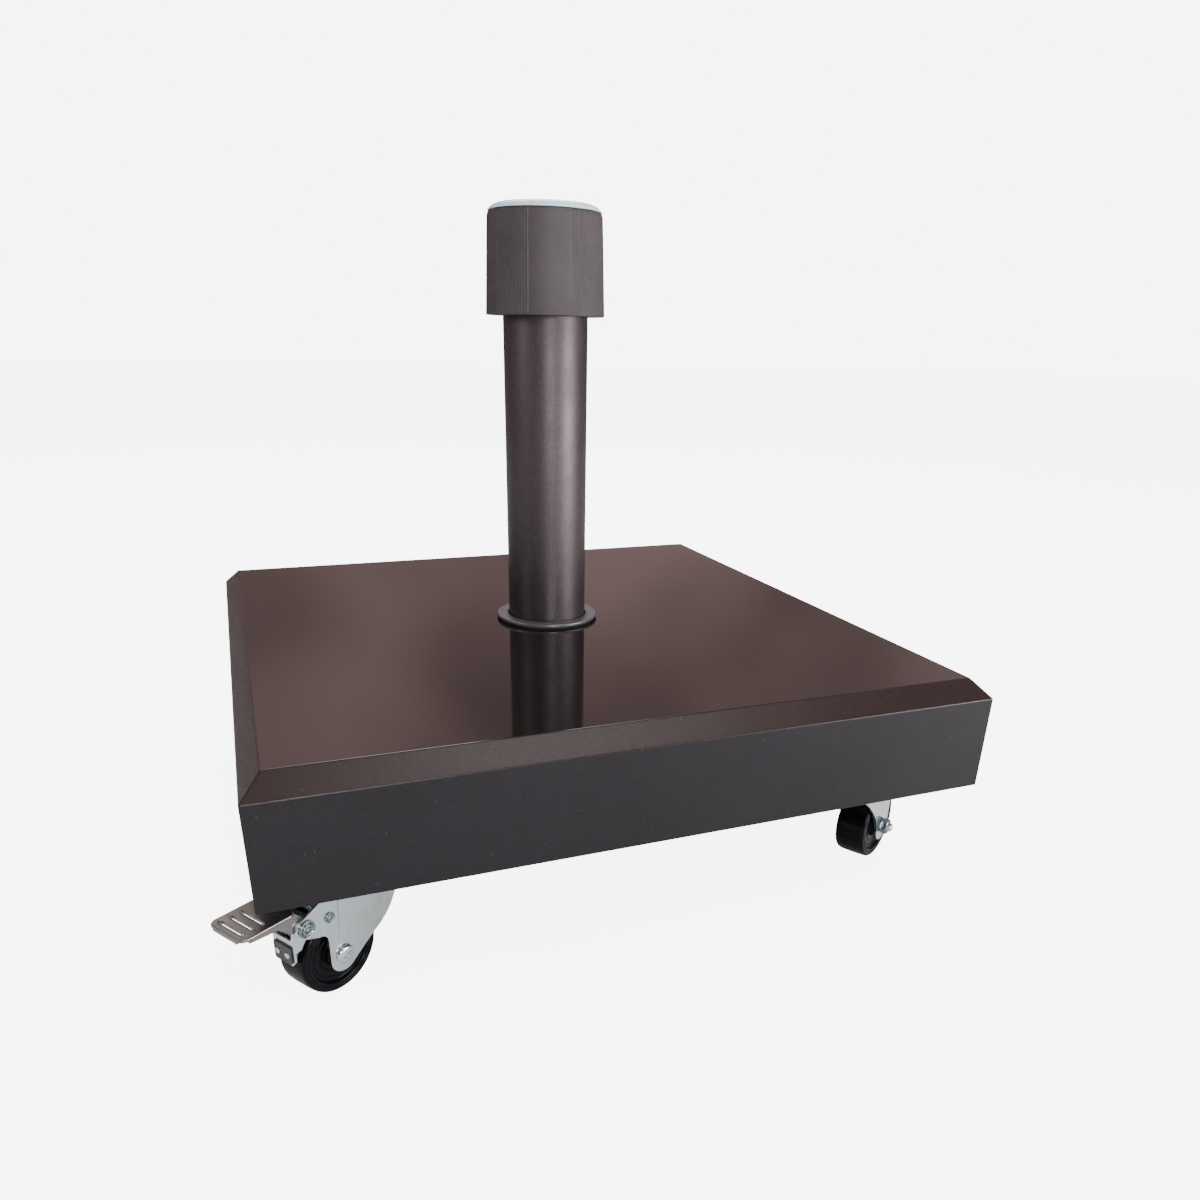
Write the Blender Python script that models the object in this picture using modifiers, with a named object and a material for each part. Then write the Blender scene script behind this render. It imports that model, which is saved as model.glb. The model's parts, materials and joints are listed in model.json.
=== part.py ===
"""Parasol base: a square granite slab on four swivel casters, with a steel stem and a twist clamp.

Units are metres, +Z is up. The origin is on the floor, under the axis of the stem. The slab's sides
are parallel to X and Y. Two casters on one diagonal have a foot brake, and the layout repeats when
the object is turned half a turn about Z.
"""
import math

import bmesh
import bpy
from mathutils import Matrix, Vector

# ---------------------------------------------------------------- driving dimensions
FIT = 0.0003                    # gap left between pieces that touch

SLAB_SIDE = 0.600
SLAB_HEIGHT = 0.097
SLAB_CHAMFER = 0.0155           # 45 degree chamfer round the top
SLAB_ARRIS = 0.0008             # fine bevel that takes the sharpness off every edge

STEM_RADIUS = 0.0375
STEM_WALL = 0.002
STEM_RISE = 0.318               # end of the tube above the top of the slab
STEM_BORE_GAP = 0.0015          # play between the tube and the hole in the slab

RING_WIDTH = 0.0109             # cover ring round the foot of the stem
RING_THICKNESS = 0.0028
RING_PLAY = 0.0010              # ring to tube
RING_EDGE = 0.0008
GASKET_THICKNESS = 0.0014
GASKET_INSET = 0.0016           # the gasket's edge stands back from the ring's edge

FLANGE_SIDE = 0.150
FLANGE_THICKNESS = 0.006
FLANGE_CORNER = 0.014
FLANGE_BOLT_INSET = 0.018
FLANGE_BOLT_RADIUS = 0.005
FLANGE_BOLT_FLATS = 0.017       # across the flats of the hexagon
FLANGE_BOLT_HEAD = 0.0064
FLANGE_BOLT_LENGTH = 0.045

SEAT_FLOOR = 0.006              # plastic seat under the pole
SEAT_RIM = 0.018
SEAT_RIM_WALL = 0.004
SEAT_RAISE = 0.004              # seat above the bottom end of the tube

COLLAR_WALL = 0.0055            # threaded collar fixed to the top of the tube
COLLAR_LENGTH = 0.035
THREAD_PLAY = 0.0004
POLE_RADIUS = 0.0275            # largest pole that the clamp takes
COLLET_BASE = 0.003
COLLET_HEIGHT = 0.0275
COLLET_STEP = 0.0040            # foot of the fingers inside the collar's edge
COLLET_TAPER = 0.0025           # foot of the fingers to their tips
COLLET_SLOTS = 8
COLLET_SLOT_WIDTH = 0.0016
PRESSURE_PLAY = 0.0007          # pressure ring to collet
PRESSURE_LENGTH = 0.0170
PRESSURE_WALL = 0.0060

KNOB_WALL = 0.0091              # collar to the outside of the knob's foot
KNOB_TAPER = 0.0028             # foot of the knob to its shoulder
KNOB_HEIGHT = 0.0790
KNOB_OVERHANG = 0.0328          # shoulder of the knob above the end of the tube
KNOB_FLOOR = 0.003              # lip round the tube at the foot of the knob
KNOB_LIP_PLAY = 0.0008
KNOB_TOP = 0.003                # wall under the cap
KNOB_CAVITY_PLAY = 0.0006
KNOB_RIBS = 26                  # ribs between two smooth panels
KNOB_RIB_DEPTH = 0.0005
KNOB_RIB_CREST = (0.28, 0.72)   # where a rib's crest starts and ends, as shares of the pitch
KNOB_PANELS = 3
KNOB_PANEL_ANGLE = math.radians(43.0)
KNOB_PANEL_AZIMUTH = math.radians(-102.0)
CAP_RISE = 0.0058
CAP_CHAMFER = 0.0074
CAP_CROWN = 0.30                # share of the chamfer that the rounded edge takes
CAP_SHOULDER = 0.55             # height of the rounded edge, as a share of the rise
MOUTH_PLAY = 0.0025             # pole to the mouth of the knob

CASTER_INSET = 0.071            # swivel axis to the slab's sides
CASTER_TRAIL = 0.031            # swivel axis to axle
WHEEL_RADIUS = 0.034
WHEEL_HEADROOM = 0.037          # top of the wheel to the underside of the slab
WHEEL_WIDTH = 0.0285
WHEEL_HUB_RADIUS = 0.0125
WHEEL_RIM_INNER = 0.0250
WHEEL_DISH = 0.0030
WHEEL_SHOULDER = 0.0016
BUSH_RADIUS = 0.0070
BUSH_PLAY = 0.0004
AXLE_RADIUS = 0.0040
AXLE_PLAY = 0.0003
AXLE_HEAD_RADIUS = 0.0075
AXLE_HEAD = 0.0036
NUT_FLATS = 0.013
NUT_HEIGHT = 0.0065
AXLE_END = 0.0030               # bolt end that shows past the nut

PLATE_SIDE = 0.066
PLATE_THICKNESS = 0.004
PLATE_CORNER = 0.008
PLATE_BOLT_INSET = 0.009
PLATE_BOLT_RADIUS = 0.004
PLATE_BOLT_FLATS = 0.013
PLATE_BOLT_HEAD = 0.0053
PLATE_BOLT_LENGTH = 0.028
KINGPIN_RADIUS = 0.0055
KINGPIN_HEAD_RADIUS = 0.0090
KINGPIN_HEAD = 0.0025           # height of the riveted head, whose edge has a 45 degree chamfer
KINGPIN_PLAY = 0.0006
RACE_RADIUS = 0.0220
RACE_HEIGHT = 0.0070
RACE_GROOVE = 0.0014            # depth of the groove round the race

CROWN_RADIUS = 0.0240
CROWN_THICKNESS = 0.003
CROWN_REACH_BRAKED = 0.033      # back edge of the crown behind the swivel axis
CROWN_REACH_PLAIN = 0.043
LEG_THICKNESS = 0.0025
LEG_PLAY = 0.0017               # side of the wheel to the inside of a leg
LEG_TIP_RADIUS = 0.0123
LEG_TIP_DROP = 0.0025           # centre of a leg's round tip below the axle
LEG_LEAD = 0.029                # leading edge of a leg ahead of the swivel axis

PIN_RADIUS = 0.0035             # pin that the pedal and the brake shoe turn on
PIN_INSET = 0.0045              # pin ahead of the back of the wheel
PIN_LIFT = 0.0040               # pin above the top of the wheel
PIN_HEAD_RADIUS = 0.0068
PIN_HEAD = 0.0022
PIN_PLAY = 0.0003
LOBE_RADIUS = 0.0085
STOP_RADIUS = 0.0025            # second rivet across the fork
STOP_HEAD_RADIUS = 0.0042
STOP_HEAD = 0.0016
STOP_BACK = 0.0095              # rivet behind the axle
STOP_LIFT = 0.0030              # rivet above the top of the wheel
DOME_FLAT = 0.6                 # flat of a domed head, as a share of its radius
DOME_EDGE = 0.4                 # height of its edge, as a share of the head

PEDAL_WIDTH = 0.0385
PEDAL_SHEET = 0.0022
PEDAL_RISE = 0.0180             # top of the pedal's plate above the pin
PEDAL_START = 0.006             # plate behind the pin
PEDAL_END = 0.0505
PEDAL_FLANGE = 0.0045           # depth of the turned-down sides
PEDAL_FLANGE_START = 0.016
PEDAL_CORNER = 0.006
PEDAL_SLOTS = 3
PEDAL_SLOT_WIDTH = 0.0024
PEDAL_SLOT_PITCH = 0.0080
PEDAL_SLOT_START = 0.0058       # tip of the pedal to the middle of the first slot
PEDAL_SLOT_MARGIN = 0.0065
PEDAL_LIP = 0.0042              # depth of the turned-down lip at the tip
PEDAL_TONGUE = 0.0105           # lock tongue ahead of the pin
PEDAL_EYE_INSET = 0.0017        # pedal's eye inside the fork's lobe

SHOE_SHEET = 0.0018
SHOE_PLAY = 0.0013              # shoe to tread with the brake off
SHOE_WIDTH = 0.0234
SHOE_SLACK = 0.0005             # curved band to the flat back
SHOE_ARC = (49.0, 4.0)          # degrees above the axle that the shoe covers
SHOE_LOW = 0.0020
SHOE_HIGH = 0.0280
SHOE_LOBE = 0.0058
SHOE_PAD_WIDTH = 0.0190
SHOE_PAD_HEIGHT = 0.0150
SHOE_PAD_THICKNESS = 0.0014
SHOE_RIVET_RADIUS = 0.0016
SHOE_RIVET_BRIM = 0.00096       # head beyond the hole
SHOE_RIVET_HEIGHT = 0.0008
SHOE_RIVET_SPREAD = 0.0055

ROUND = 48                      # sides of the large round pieces
MIDDLE = 28                     # sides of the wheels
SMALL = 12                      # sides of bolts and pins

# Corner name: sign in X, sign in Y, azimuth that the wheel trails towards, brake.
CASTERS = {
    "front_left": (-1, -1, math.radians(213.5), True),
    "front_right": (1, -1, math.radians(30.5), False),
    "back_right": (1, 1, math.radians(33.5), True),
    "back_left": (-1, 1, math.radians(210.5), False),
}

# ---------------------------------------------------------------- derived levels
SLAB_BOTTOM = 2 * WHEEL_RADIUS + WHEEL_HEADROOM
SLAB_TOP = SLAB_BOTTOM + SLAB_HEIGHT
FLANGE_TOP = SLAB_BOTTOM - FIT
FLANGE_BOTTOM = FLANGE_TOP - FLANGE_THICKNESS
STEM_BOTTOM = FLANGE_BOTTOM
STEM_TOP = SLAB_TOP + STEM_RISE
STEM_INNER = STEM_RADIUS - STEM_WALL
RING_RADIUS = STEM_RADIUS + RING_PLAY + RING_WIDTH
COLLAR_RADIUS = STEM_RADIUS + COLLAR_WALL
COLLET_FOOT_RADIUS = COLLAR_RADIUS - COLLET_STEP
COLLET_TIP_RADIUS = COLLET_FOOT_RADIUS - COLLET_TAPER
KNOB_FOOT_RADIUS = COLLAR_RADIUS + KNOB_WALL
KNOB_SHOULDER_RADIUS = KNOB_FOOT_RADIUS - KNOB_TAPER
CAP_MOUTH = POLE_RADIUS + MOUTH_PLAY
KNOB_SHOULDER = STEM_TOP + KNOB_OVERHANG
KNOB_BOTTOM = KNOB_SHOULDER - KNOB_HEIGHT
KNOB_CEILING = KNOB_SHOULDER - KNOB_TOP
COLLET_BOTTOM = STEM_TOP + FIT
PRESSURE_TOP = KNOB_CEILING - FIT
PLATE_TOP = SLAB_BOTTOM - FIT
PLATE_BOTTOM = PLATE_TOP - PLATE_THICKNESS
RACE_TOP = PLATE_BOTTOM - FIT
RACE_BOTTOM = RACE_TOP - RACE_HEIGHT
CROWN_TOP = RACE_BOTTOM - FIT
CROWN_BOTTOM = CROWN_TOP - CROWN_THICKNESS
LEG_INNER = WHEEL_WIDTH / 2 + LEG_PLAY
LEG_OUTER = LEG_INNER + LEG_THICKNESS
CASTER_REACH = SLAB_SIDE / 2 - CASTER_INSET
PIN_X = CASTER_TRAIL + WHEEL_RADIUS - PIN_INSET
PIN_Z = 2 * WHEEL_RADIUS + PIN_LIFT
STOP_Z = 2 * WHEEL_RADIUS + STOP_LIFT
SHOE_BACK = WHEEL_RADIUS + SHOE_PLAY + SHOE_SHEET + SHOE_SLACK


# ---------------------------------------------------------------- scene and materials
def new_scene():
    """Remove what the scene holds and make the two collections."""
    for old in list(bpy.data.objects):
        bpy.data.objects.remove(old, do_unlink=True)
    made = []
    for name in ("parasol_base", "cutters"):
        collection = bpy.data.collections.new(name)
        bpy.context.scene.collection.children.link(collection)
        made.append(collection)
    return made


PARTS, CUTTERS = new_scene()


def material(name, colour, roughness, metallic=0.0):
    """A Principled material in one colour."""
    made = bpy.data.materials.new(name)
    made.use_nodes = True
    shader = made.node_tree.nodes["Principled BSDF"]
    shader.inputs["Base Color"].default_value = (*colour, 1.0)
    shader.inputs["Roughness"].default_value = roughness
    shader.inputs["Metallic"].default_value = metallic
    made.diffuse_color = (*colour, 1.0)
    return made


GRANITE = material("granite_black", (0.018, 0.014, 0.015), 0.12)
BRONZE = material("bronze_powder_coat", (0.085, 0.066, 0.070), 0.42, 0.6)
RING_GREY = material("ring_grey", (0.110, 0.110, 0.118), 0.35, 0.5)
RUBBER = material("rubber_black", (0.020, 0.020, 0.020), 0.80)
KNOB_GREY = material("knob_plastic", (0.078, 0.066, 0.072), 0.55)
CAP_GREY = material("cap_plastic", (0.420, 0.480, 0.510), 0.30)
NYLON = material("nylon_dark", (0.050, 0.050, 0.052), 0.50)
ZINC = material("zinc_plate", (0.640, 0.680, 0.700), 0.28, 1.0)
STEEL = material("pressed_steel", (0.420, 0.410, 0.400), 0.38, 1.0)
WHEEL_BLACK = material("wheel_nylon", (0.014, 0.013, 0.016), 0.22)
BRONZE_BUSH = material("bush_bronze", (0.380, 0.260, 0.150), 0.40, 1.0)
DARK_STEEL = material("dark_steel", (0.120, 0.115, 0.115), 0.40, 1.0)


# ---------------------------------------------------------------- modelling helpers
def link(data, name):
    """An object in the cutters' collection, hidden from the build."""
    made = bpy.data.objects.new(name, data)
    CUTTERS.objects.link(made)
    made.hide_render = True
    made.display_type = "WIRE"
    return made


def baked(obj):
    """The object's evaluated mesh in world space. The object itself is removed."""
    bpy.context.view_layer.update()
    evaluated = obj.evaluated_get(bpy.context.evaluated_depsgraph_get())
    mesh = bpy.data.meshes.new_from_object(evaluated)
    mesh.transform(obj.matrix_world)
    bpy.data.objects.remove(obj, do_unlink=True)
    shape = bmesh.new()
    shape.from_mesh(mesh)
    bmesh.ops.remove_doubles(shape, verts=shape.verts, dist=1e-6)
    bmesh.ops.dissolve_degenerate(shape, edges=shape.edges, dist=1e-6)
    shape.to_mesh(mesh)
    shape.free()
    return mesh


def turned(profile, sides, about=None):
    """A solid turned about Z. The profile (radius, height) runs down its outer side.

    A profile that starts and ends on the axis makes a full solid, and any other is closed into a
    ring. The matrix about places the result.
    """
    on_axis = profile[0][0] == 0.0 and profile[-1][0] == 0.0
    count = len(profile)
    edges = [(i, i + 1) for i in range(count - 1)]
    if not on_axis:
        edges.append((count - 1, 0))
    mesh = bpy.data.meshes.new("profile")
    mesh.from_pydata([(radius, 0.0, height) for radius, height in profile], edges, [])
    obj = link(mesh, "turned")
    screw = obj.modifiers.new("screw", "SCREW")
    screw.axis = "Z"
    screw.angle = math.tau
    screw.steps = sides
    screw.render_steps = sides
    screw.use_merge_vertices = True
    screw.merge_threshold = 1e-5
    made = baked(obj)
    if about is not None:
        made.transform(about)
    return made


def extruded(outline, thickness, about=None):
    """A flat outline in XY, centred in Z and made solid. The matrix about places the result."""
    curve = bpy.data.curves.new("outline", "CURVE")
    curve.dimensions = "2D"
    curve.fill_mode = "BOTH"
    curve.extrude = thickness / 2
    spline = curve.splines.new("POLY")
    spline.points.add(len(outline) - 1)
    for point, (x, y) in zip(spline.points, outline):
        point.co = (x, y, 0.0, 1.0)
    spline.use_cyclic_u = True
    made = baked(link(curve, "extruded"))
    if about is not None:
        made.transform(about)
    return made


def cylinder(radius, bottom, top, sides, x=0.0, y=0.0):
    """An upright cylinder between two heights, with a flat to the front."""
    shape = bmesh.new()
    place = Matrix.Translation((x, y, (bottom + top) / 2)) @ Matrix.Rotation(math.pi / sides, 4, "Z")
    bmesh.ops.create_cone(shape, cap_ends=True, segments=sides, radius1=radius, radius2=radius,
                          depth=top - bottom, matrix=place)
    mesh = bpy.data.meshes.new("cylinder")
    shape.to_mesh(mesh)
    shape.free()
    return mesh


def box(low, high):
    """A box between two corners."""
    low, high = Vector(low), Vector(high)
    shape = bmesh.new()
    size = high - low
    place = Matrix.Translation((low + high) / 2) @ Matrix.Diagonal((*size, 1.0))
    bmesh.ops.create_cube(shape, size=1.0, matrix=place)
    mesh = bpy.data.meshes.new("box")
    shape.to_mesh(mesh)
    shape.free()
    return mesh


def combined(first, others, operation):
    """The first mesh joined with the others, or cut by them."""
    for other in others:
        body = link(first, "body")
        tool = link(other, "tool")
        boolean = body.modifiers.new("boolean", "BOOLEAN")
        boolean.operation = operation
        boolean.solver = "EXACT"
        boolean.object = tool
        first = baked(body)
        bpy.data.objects.remove(tool, do_unlink=True)
    return first


def joined(first, *others):
    return combined(first, others, "UNION")


def cut(first, *others):
    return combined(first, others, "DIFFERENCE")


def node(name, mesh, look, frame=None, origin=(0.0, 0.0, 0.0)):
    """A finished sub-part. Its mesh is given in the frame's axes and its origin is moved to a point."""
    mesh = mesh.copy()
    mesh.transform(Matrix.Translation(-Vector(origin)))
    mesh.name = name
    mesh.materials.clear()
    mesh.materials.append(look)
    made = bpy.data.objects.new(name, mesh)
    PARTS.objects.link(made)
    made.parent = frame
    made.location = origin
    mesh.shade_smooth()
    mesh.set_sharp_from_angle(angle=math.radians(32.0))
    return made


def empty(name, location, azimuth=0.0):
    made = bpy.data.objects.new(name, None)
    made.empty_display_size = 0.02
    made.location = location
    made.rotation_euler = (0.0, 0.0, azimuth)
    PARTS.objects.link(made)
    return made


def arc(centre, radius, start, end, steps):
    """Points along an arc, from one angle in degrees to another."""
    angles = [math.radians(start + (end - start) * i / steps) for i in range(steps + 1)]
    return [(centre[0] + radius * math.cos(a), centre[1] + radius * math.sin(a)) for a in angles]


def rounded_rectangle(half_x, half_y, corner, steps=4):
    points = []
    for sign_x, sign_y, start in ((1, 1, 0), (-1, 1, 90), (-1, -1, 180), (1, -1, 270)):
        centre = (sign_x * (half_x - corner), sign_y * (half_y - corner))
        points += arc(centre, corner, start, start + 90, steps)
    return points


def hexagon_radius(across_flats):
    return across_flats / math.sqrt(3.0)


def square_pattern(reach):
    return [(x * reach, y * reach) for x in (-1, 1) for y in (-1, 1)]


# A turned piece or outline made flat is stood up with its axis, or its thickness, along Y.
ALONG_Y = Matrix.Rotation(math.pi / 2, 4, "X")


# ---------------------------------------------------------------- slab and stem
def caster_centre(corner):
    sign_x, sign_y = CASTERS[corner][:2]
    return sign_x * CASTER_REACH, sign_y * CASTER_REACH


def granite_slab():
    """A square slab with a chamfer round its top, the stem's hole and blind holes for the bolts."""
    half = SLAB_SIDE / 2
    shape = bmesh.new()
    shape.from_mesh(box((-half, -half, SLAB_BOTTOM), (half, half, SLAB_TOP)))
    rim = [edge for edge in shape.edges if all(v.co.z > SLAB_TOP - FIT for v in edge.verts)]
    bmesh.ops.bevel(shape, geom=rim, offset=SLAB_CHAMFER, segments=1, affect="EDGES")
    mesh = bpy.data.meshes.new("slab")
    shape.to_mesh(mesh)
    shape.free()
    obj = link(mesh, "slab")
    bevel = obj.modifiers.new("arris", "BEVEL")
    bevel.width = SLAB_ARRIS
    bevel.segments = 1
    bevel.limit_method = "ANGLE"
    mesh = baked(obj)
    hole = STEM_RADIUS + STEM_BORE_GAP
    tools = [cylinder(hole, SLAB_BOTTOM - hole, SLAB_TOP + hole, ROUND)]
    bolt_hole = FLANGE_BOLT_RADIUS + STEM_BORE_GAP / 2
    for x, y in square_pattern(FLANGE_SIDE / 2 - FLANGE_BOLT_INSET):
        depth = FLANGE_BOLT_LENGTH + FLANGE_BOLT_RADIUS
        tools.append(cylinder(bolt_hole, SLAB_BOTTOM - depth, SLAB_BOTTOM + depth, SMALL, x, y))
    bolt_hole = PLATE_BOLT_RADIUS + STEM_BORE_GAP / 2
    for corner in CASTERS:
        centre_x, centre_y = caster_centre(corner)
        for x, y in square_pattern(PLATE_SIDE / 2 - PLATE_BOLT_INSET):
            depth = PLATE_BOLT_LENGTH + PLATE_BOLT_RADIUS
            tools.append(cylinder(bolt_hole, SLAB_BOTTOM - depth, SLAB_BOTTOM + depth, SMALL,
                                  centre_x + x, centre_y + y))
    node("granite_slab", cut(mesh, *tools), GRANITE)


def stem_tube():
    profile = [(STEM_INNER, STEM_TOP), (STEM_RADIUS, STEM_TOP),
               (STEM_RADIUS, STEM_BOTTOM), (STEM_INNER, STEM_BOTTOM)]
    node("stem_tube", turned(profile, ROUND), BRONZE)


def cover_ring():
    """The flat ring round the foot of the stem, and the rubber gasket under it."""
    inner = STEM_RADIUS + RING_PLAY
    bottom = SLAB_TOP + FIT + GASKET_THICKNESS + FIT
    top = bottom + RING_THICKNESS
    profile = [(inner, top), (RING_RADIUS - RING_EDGE, top), (RING_RADIUS, top - RING_EDGE),
               (RING_RADIUS, bottom), (inner, bottom)]
    node("cover_ring", turned(profile, ROUND), RING_GREY)
    low, high = SLAB_TOP + FIT, SLAB_TOP + FIT + GASKET_THICKNESS
    edge = RING_RADIUS - GASKET_INSET
    profile = [(inner, high), (edge, high), (edge, low), (inner, low)]
    node("ring_gasket", turned(profile, ROUND), RUBBER)


def flange_plate():
    """The steel plate under the slab that the tube is welded into, and its four bolts."""
    middle = Matrix.Translation((0, 0, (FLANGE_TOP + FLANGE_BOTTOM) / 2))
    plate = extruded(rounded_rectangle(FLANGE_SIDE / 2, FLANGE_SIDE / 2, FLANGE_CORNER),
                     FLANGE_THICKNESS, middle)
    reach = FLANGE_SIDE / 2 - FLANGE_BOLT_INSET
    tools = [cylinder(STEM_RADIUS + FIT, FLANGE_BOTTOM - FIT, FLANGE_TOP + FIT, ROUND)]
    for x, y in square_pattern(reach):
        tools.append(cylinder(FLANGE_BOLT_RADIUS + FIT, FLANGE_BOTTOM - FIT, FLANGE_TOP + FIT,
                              SMALL, x, y))
    node("flange_plate", cut(plate, *tools), ZINC)
    head_top = FLANGE_BOTTOM - FIT
    head_bottom = head_top - FLANGE_BOLT_HEAD
    for index, (x, y) in enumerate(square_pattern(reach), start=1):
        head = cylinder(hexagon_radius(FLANGE_BOLT_FLATS), head_bottom, head_top, 6, x, y)
        shank = cylinder(FLANGE_BOLT_RADIUS, head_top - FLANGE_BOLT_HEAD / 2,
                         SLAB_BOTTOM + FLANGE_BOLT_LENGTH, SMALL, x, y)
        node(f"flange_bolt_{index}", joined(head, shank), ZINC)


def pole_seat():
    """The plastic cup in the foot of the tube that the pole stands in."""
    outer = STEM_INNER - FIT
    low = STEM_BOTTOM + SEAT_RAISE
    floor = low + SEAT_FLOOR
    high = floor + SEAT_RIM
    lead_in = SEAT_RIM_WALL / 2
    profile = [(0.0, floor), (outer - SEAT_RIM_WALL, floor),
               (outer - SEAT_RIM_WALL, high - lead_in), (outer - lead_in, high),
               (outer, high), (outer, low), (0.0, low)]
    node("pole_seat", turned(profile, ROUND // 2), NYLON)


# ---------------------------------------------------------------- twist clamp
def thread_collar():
    inner = STEM_RADIUS + FIT
    bottom = STEM_TOP - COLLAR_LENGTH
    lead = COLLAR_RADIUS - inner
    profile = [(inner, STEM_TOP), (COLLAR_RADIUS, STEM_TOP), (COLLAR_RADIUS, bottom + lead / 2),
               (inner + lead / 2, bottom), (inner, bottom)]
    node("thread_collar", turned(profile, ROUND), NYLON)


def grip_collet():
    """A ring on the end of the tube with spring fingers that close round the pole."""
    base = COLLET_BOTTOM + COLLET_BASE
    tip = COLLET_BOTTOM + COLLET_HEIGHT
    profile = [(POLE_RADIUS, tip), (COLLET_TIP_RADIUS, tip), (COLLET_FOOT_RADIUS, base),
               (COLLAR_RADIUS - THREAD_PLAY, base), (COLLAR_RADIUS - THREAD_PLAY, COLLET_BOTTOM),
               (POLE_RADIUS, COLLET_BOTTOM)]
    collet = turned(profile, ROUND)
    half = COLLET_SLOT_WIDTH / 2
    slots = []
    for index in range(COLLET_SLOTS // 2):
        slot = box((-KNOB_FOOT_RADIUS, -half, base), (KNOB_FOOT_RADIUS, half, tip + COLLET_BASE))
        turn = math.pi * (index + 0.5) / (COLLET_SLOTS // 2)
        slot.transform(Matrix.Rotation(turn, 4, "Z"))
        slots.append(slot)
    node("grip_collet", cut(collet, *slots), NYLON)


def pressure_ring():
    """The tapered ring that the knob pushes down over the collet's fingers."""
    bottom = PRESSURE_TOP - PRESSURE_LENGTH
    base = COLLET_BOTTOM + COLLET_BASE
    tip = COLLET_BOTTOM + COLLET_HEIGHT
    slope = (COLLET_FOOT_RADIUS - COLLET_TIP_RADIUS) / (tip - base)

    def bore(height):
        return COLLET_TIP_RADIUS + slope * (tip - height) + PRESSURE_PLAY

    outer = bore(bottom) + PRESSURE_WALL
    profile = [(bore(PRESSURE_TOP), PRESSURE_TOP), (outer, PRESSURE_TOP), (outer, bottom),
               (bore(bottom), bottom)]
    node("pressure_ring", turned(profile, ROUND), NYLON)
    return outer


def knob_outline():
    """The knob's section: smooth panels with fine ribs between them."""
    points = []
    sector = math.tau / KNOB_PANELS
    rib = (sector - KNOB_PANEL_ANGLE) / KNOB_RIBS
    valley = KNOB_FOOT_RADIUS - KNOB_RIB_DEPTH
    panel_steps = 6
    for index in range(KNOB_PANELS):
        start = KNOB_PANEL_AZIMUTH + index * sector - KNOB_PANEL_ANGLE / 2
        for step in range(panel_steps + 1):
            angle = start + KNOB_PANEL_ANGLE * step / panel_steps
            points.append((valley, angle))
        for step in range(KNOB_RIBS):
            angle = start + KNOB_PANEL_ANGLE + rib * step
            if step:
                points.append((valley, angle))
            points += [(KNOB_FOOT_RADIUS, angle + rib * share) for share in KNOB_RIB_CREST]
    return [(radius * math.cos(angle), radius * math.sin(angle)) for radius, angle in points]


def clamp_knob(ring_radius):
    """The ribbed knob. It screws down the collar and pushes the pressure ring before it."""
    middle = Matrix.Translation((0, 0, (KNOB_SHOULDER + KNOB_BOTTOM) / 2))
    shell = extruded(knob_outline(), KNOB_HEIGHT, middle)
    taper = KNOB_SHOULDER_RADIUS / KNOB_FOOT_RADIUS
    for vertex in shell.vertices:
        if vertex.co.z > (KNOB_SHOULDER + KNOB_BOTTOM) / 2:
            vertex.co.x *= taper
            vertex.co.y *= taper
    over = KNOB_TOP
    lip = STEM_RADIUS + KNOB_LIP_PLAY
    thread = COLLAR_RADIUS + THREAD_PLAY
    cavity = ring_radius + KNOB_CAVITY_PLAY
    profile = [(0.0, KNOB_SHOULDER + over), (CAP_MOUTH, KNOB_SHOULDER + over),
               (CAP_MOUTH, KNOB_CEILING), (cavity, KNOB_CEILING), (cavity, STEM_TOP),
               (thread, STEM_TOP), (thread, KNOB_BOTTOM + KNOB_FLOOR), (lip, KNOB_BOTTOM + KNOB_FLOOR),
               (lip, KNOB_BOTTOM - over), (0.0, KNOB_BOTTOM - over)]
    node("clamp_knob", cut(shell, turned(profile, ROUND)), KNOB_GREY)


def knob_cap():
    """The pale ring let into the top of the knob, round its mouth."""
    low = KNOB_SHOULDER + FIT
    high = KNOB_SHOULDER + CAP_RISE
    edge = KNOB_SHOULDER_RADIUS - KNOB_RIB_DEPTH
    shoulder = (edge - CAP_CHAMFER * CAP_CROWN, low + CAP_RISE * CAP_SHOULDER)
    profile = [(CAP_MOUTH, high), (edge - CAP_CHAMFER, high), shoulder, (edge, low), (CAP_MOUTH, low)]
    node("knob_cap", turned(profile, ROUND), CAP_GREY)


# ---------------------------------------------------------------- casters
def mount_plate():
    """Top plate with its riveted kingpin and its four bolts, in one piece."""
    middle = Matrix.Translation((0, 0, (PLATE_TOP + PLATE_BOTTOM) / 2))
    half = PLATE_SIDE / 2
    plate = extruded(rounded_rectangle(half, half, PLATE_CORNER, 2), PLATE_THICKNESS, middle)
    inside = PLATE_THICKNESS / 2
    head_top = CROWN_BOTTOM - FIT
    head_low = head_top - KINGPIN_HEAD
    profile = [(0.0, PLATE_BOTTOM + inside), (KINGPIN_RADIUS, PLATE_BOTTOM + inside),
               (KINGPIN_RADIUS, head_top), (KINGPIN_HEAD_RADIUS, head_top),
               (KINGPIN_HEAD_RADIUS - KINGPIN_HEAD, head_low), (0.0, head_low)]
    pieces = [turned(profile, SMALL)]
    for x, y in square_pattern(half - PLATE_BOLT_INSET):
        pieces.append(cylinder(hexagon_radius(PLATE_BOLT_FLATS), PLATE_BOTTOM - PLATE_BOLT_HEAD,
                               PLATE_BOTTOM + inside, 6, x, y))
        pieces.append(cylinder(PLATE_BOLT_RADIUS, PLATE_BOTTOM + inside,
                               SLAB_BOTTOM + PLATE_BOLT_LENGTH, SMALL // 2, x, y))
    return joined(plate, *pieces)


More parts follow.
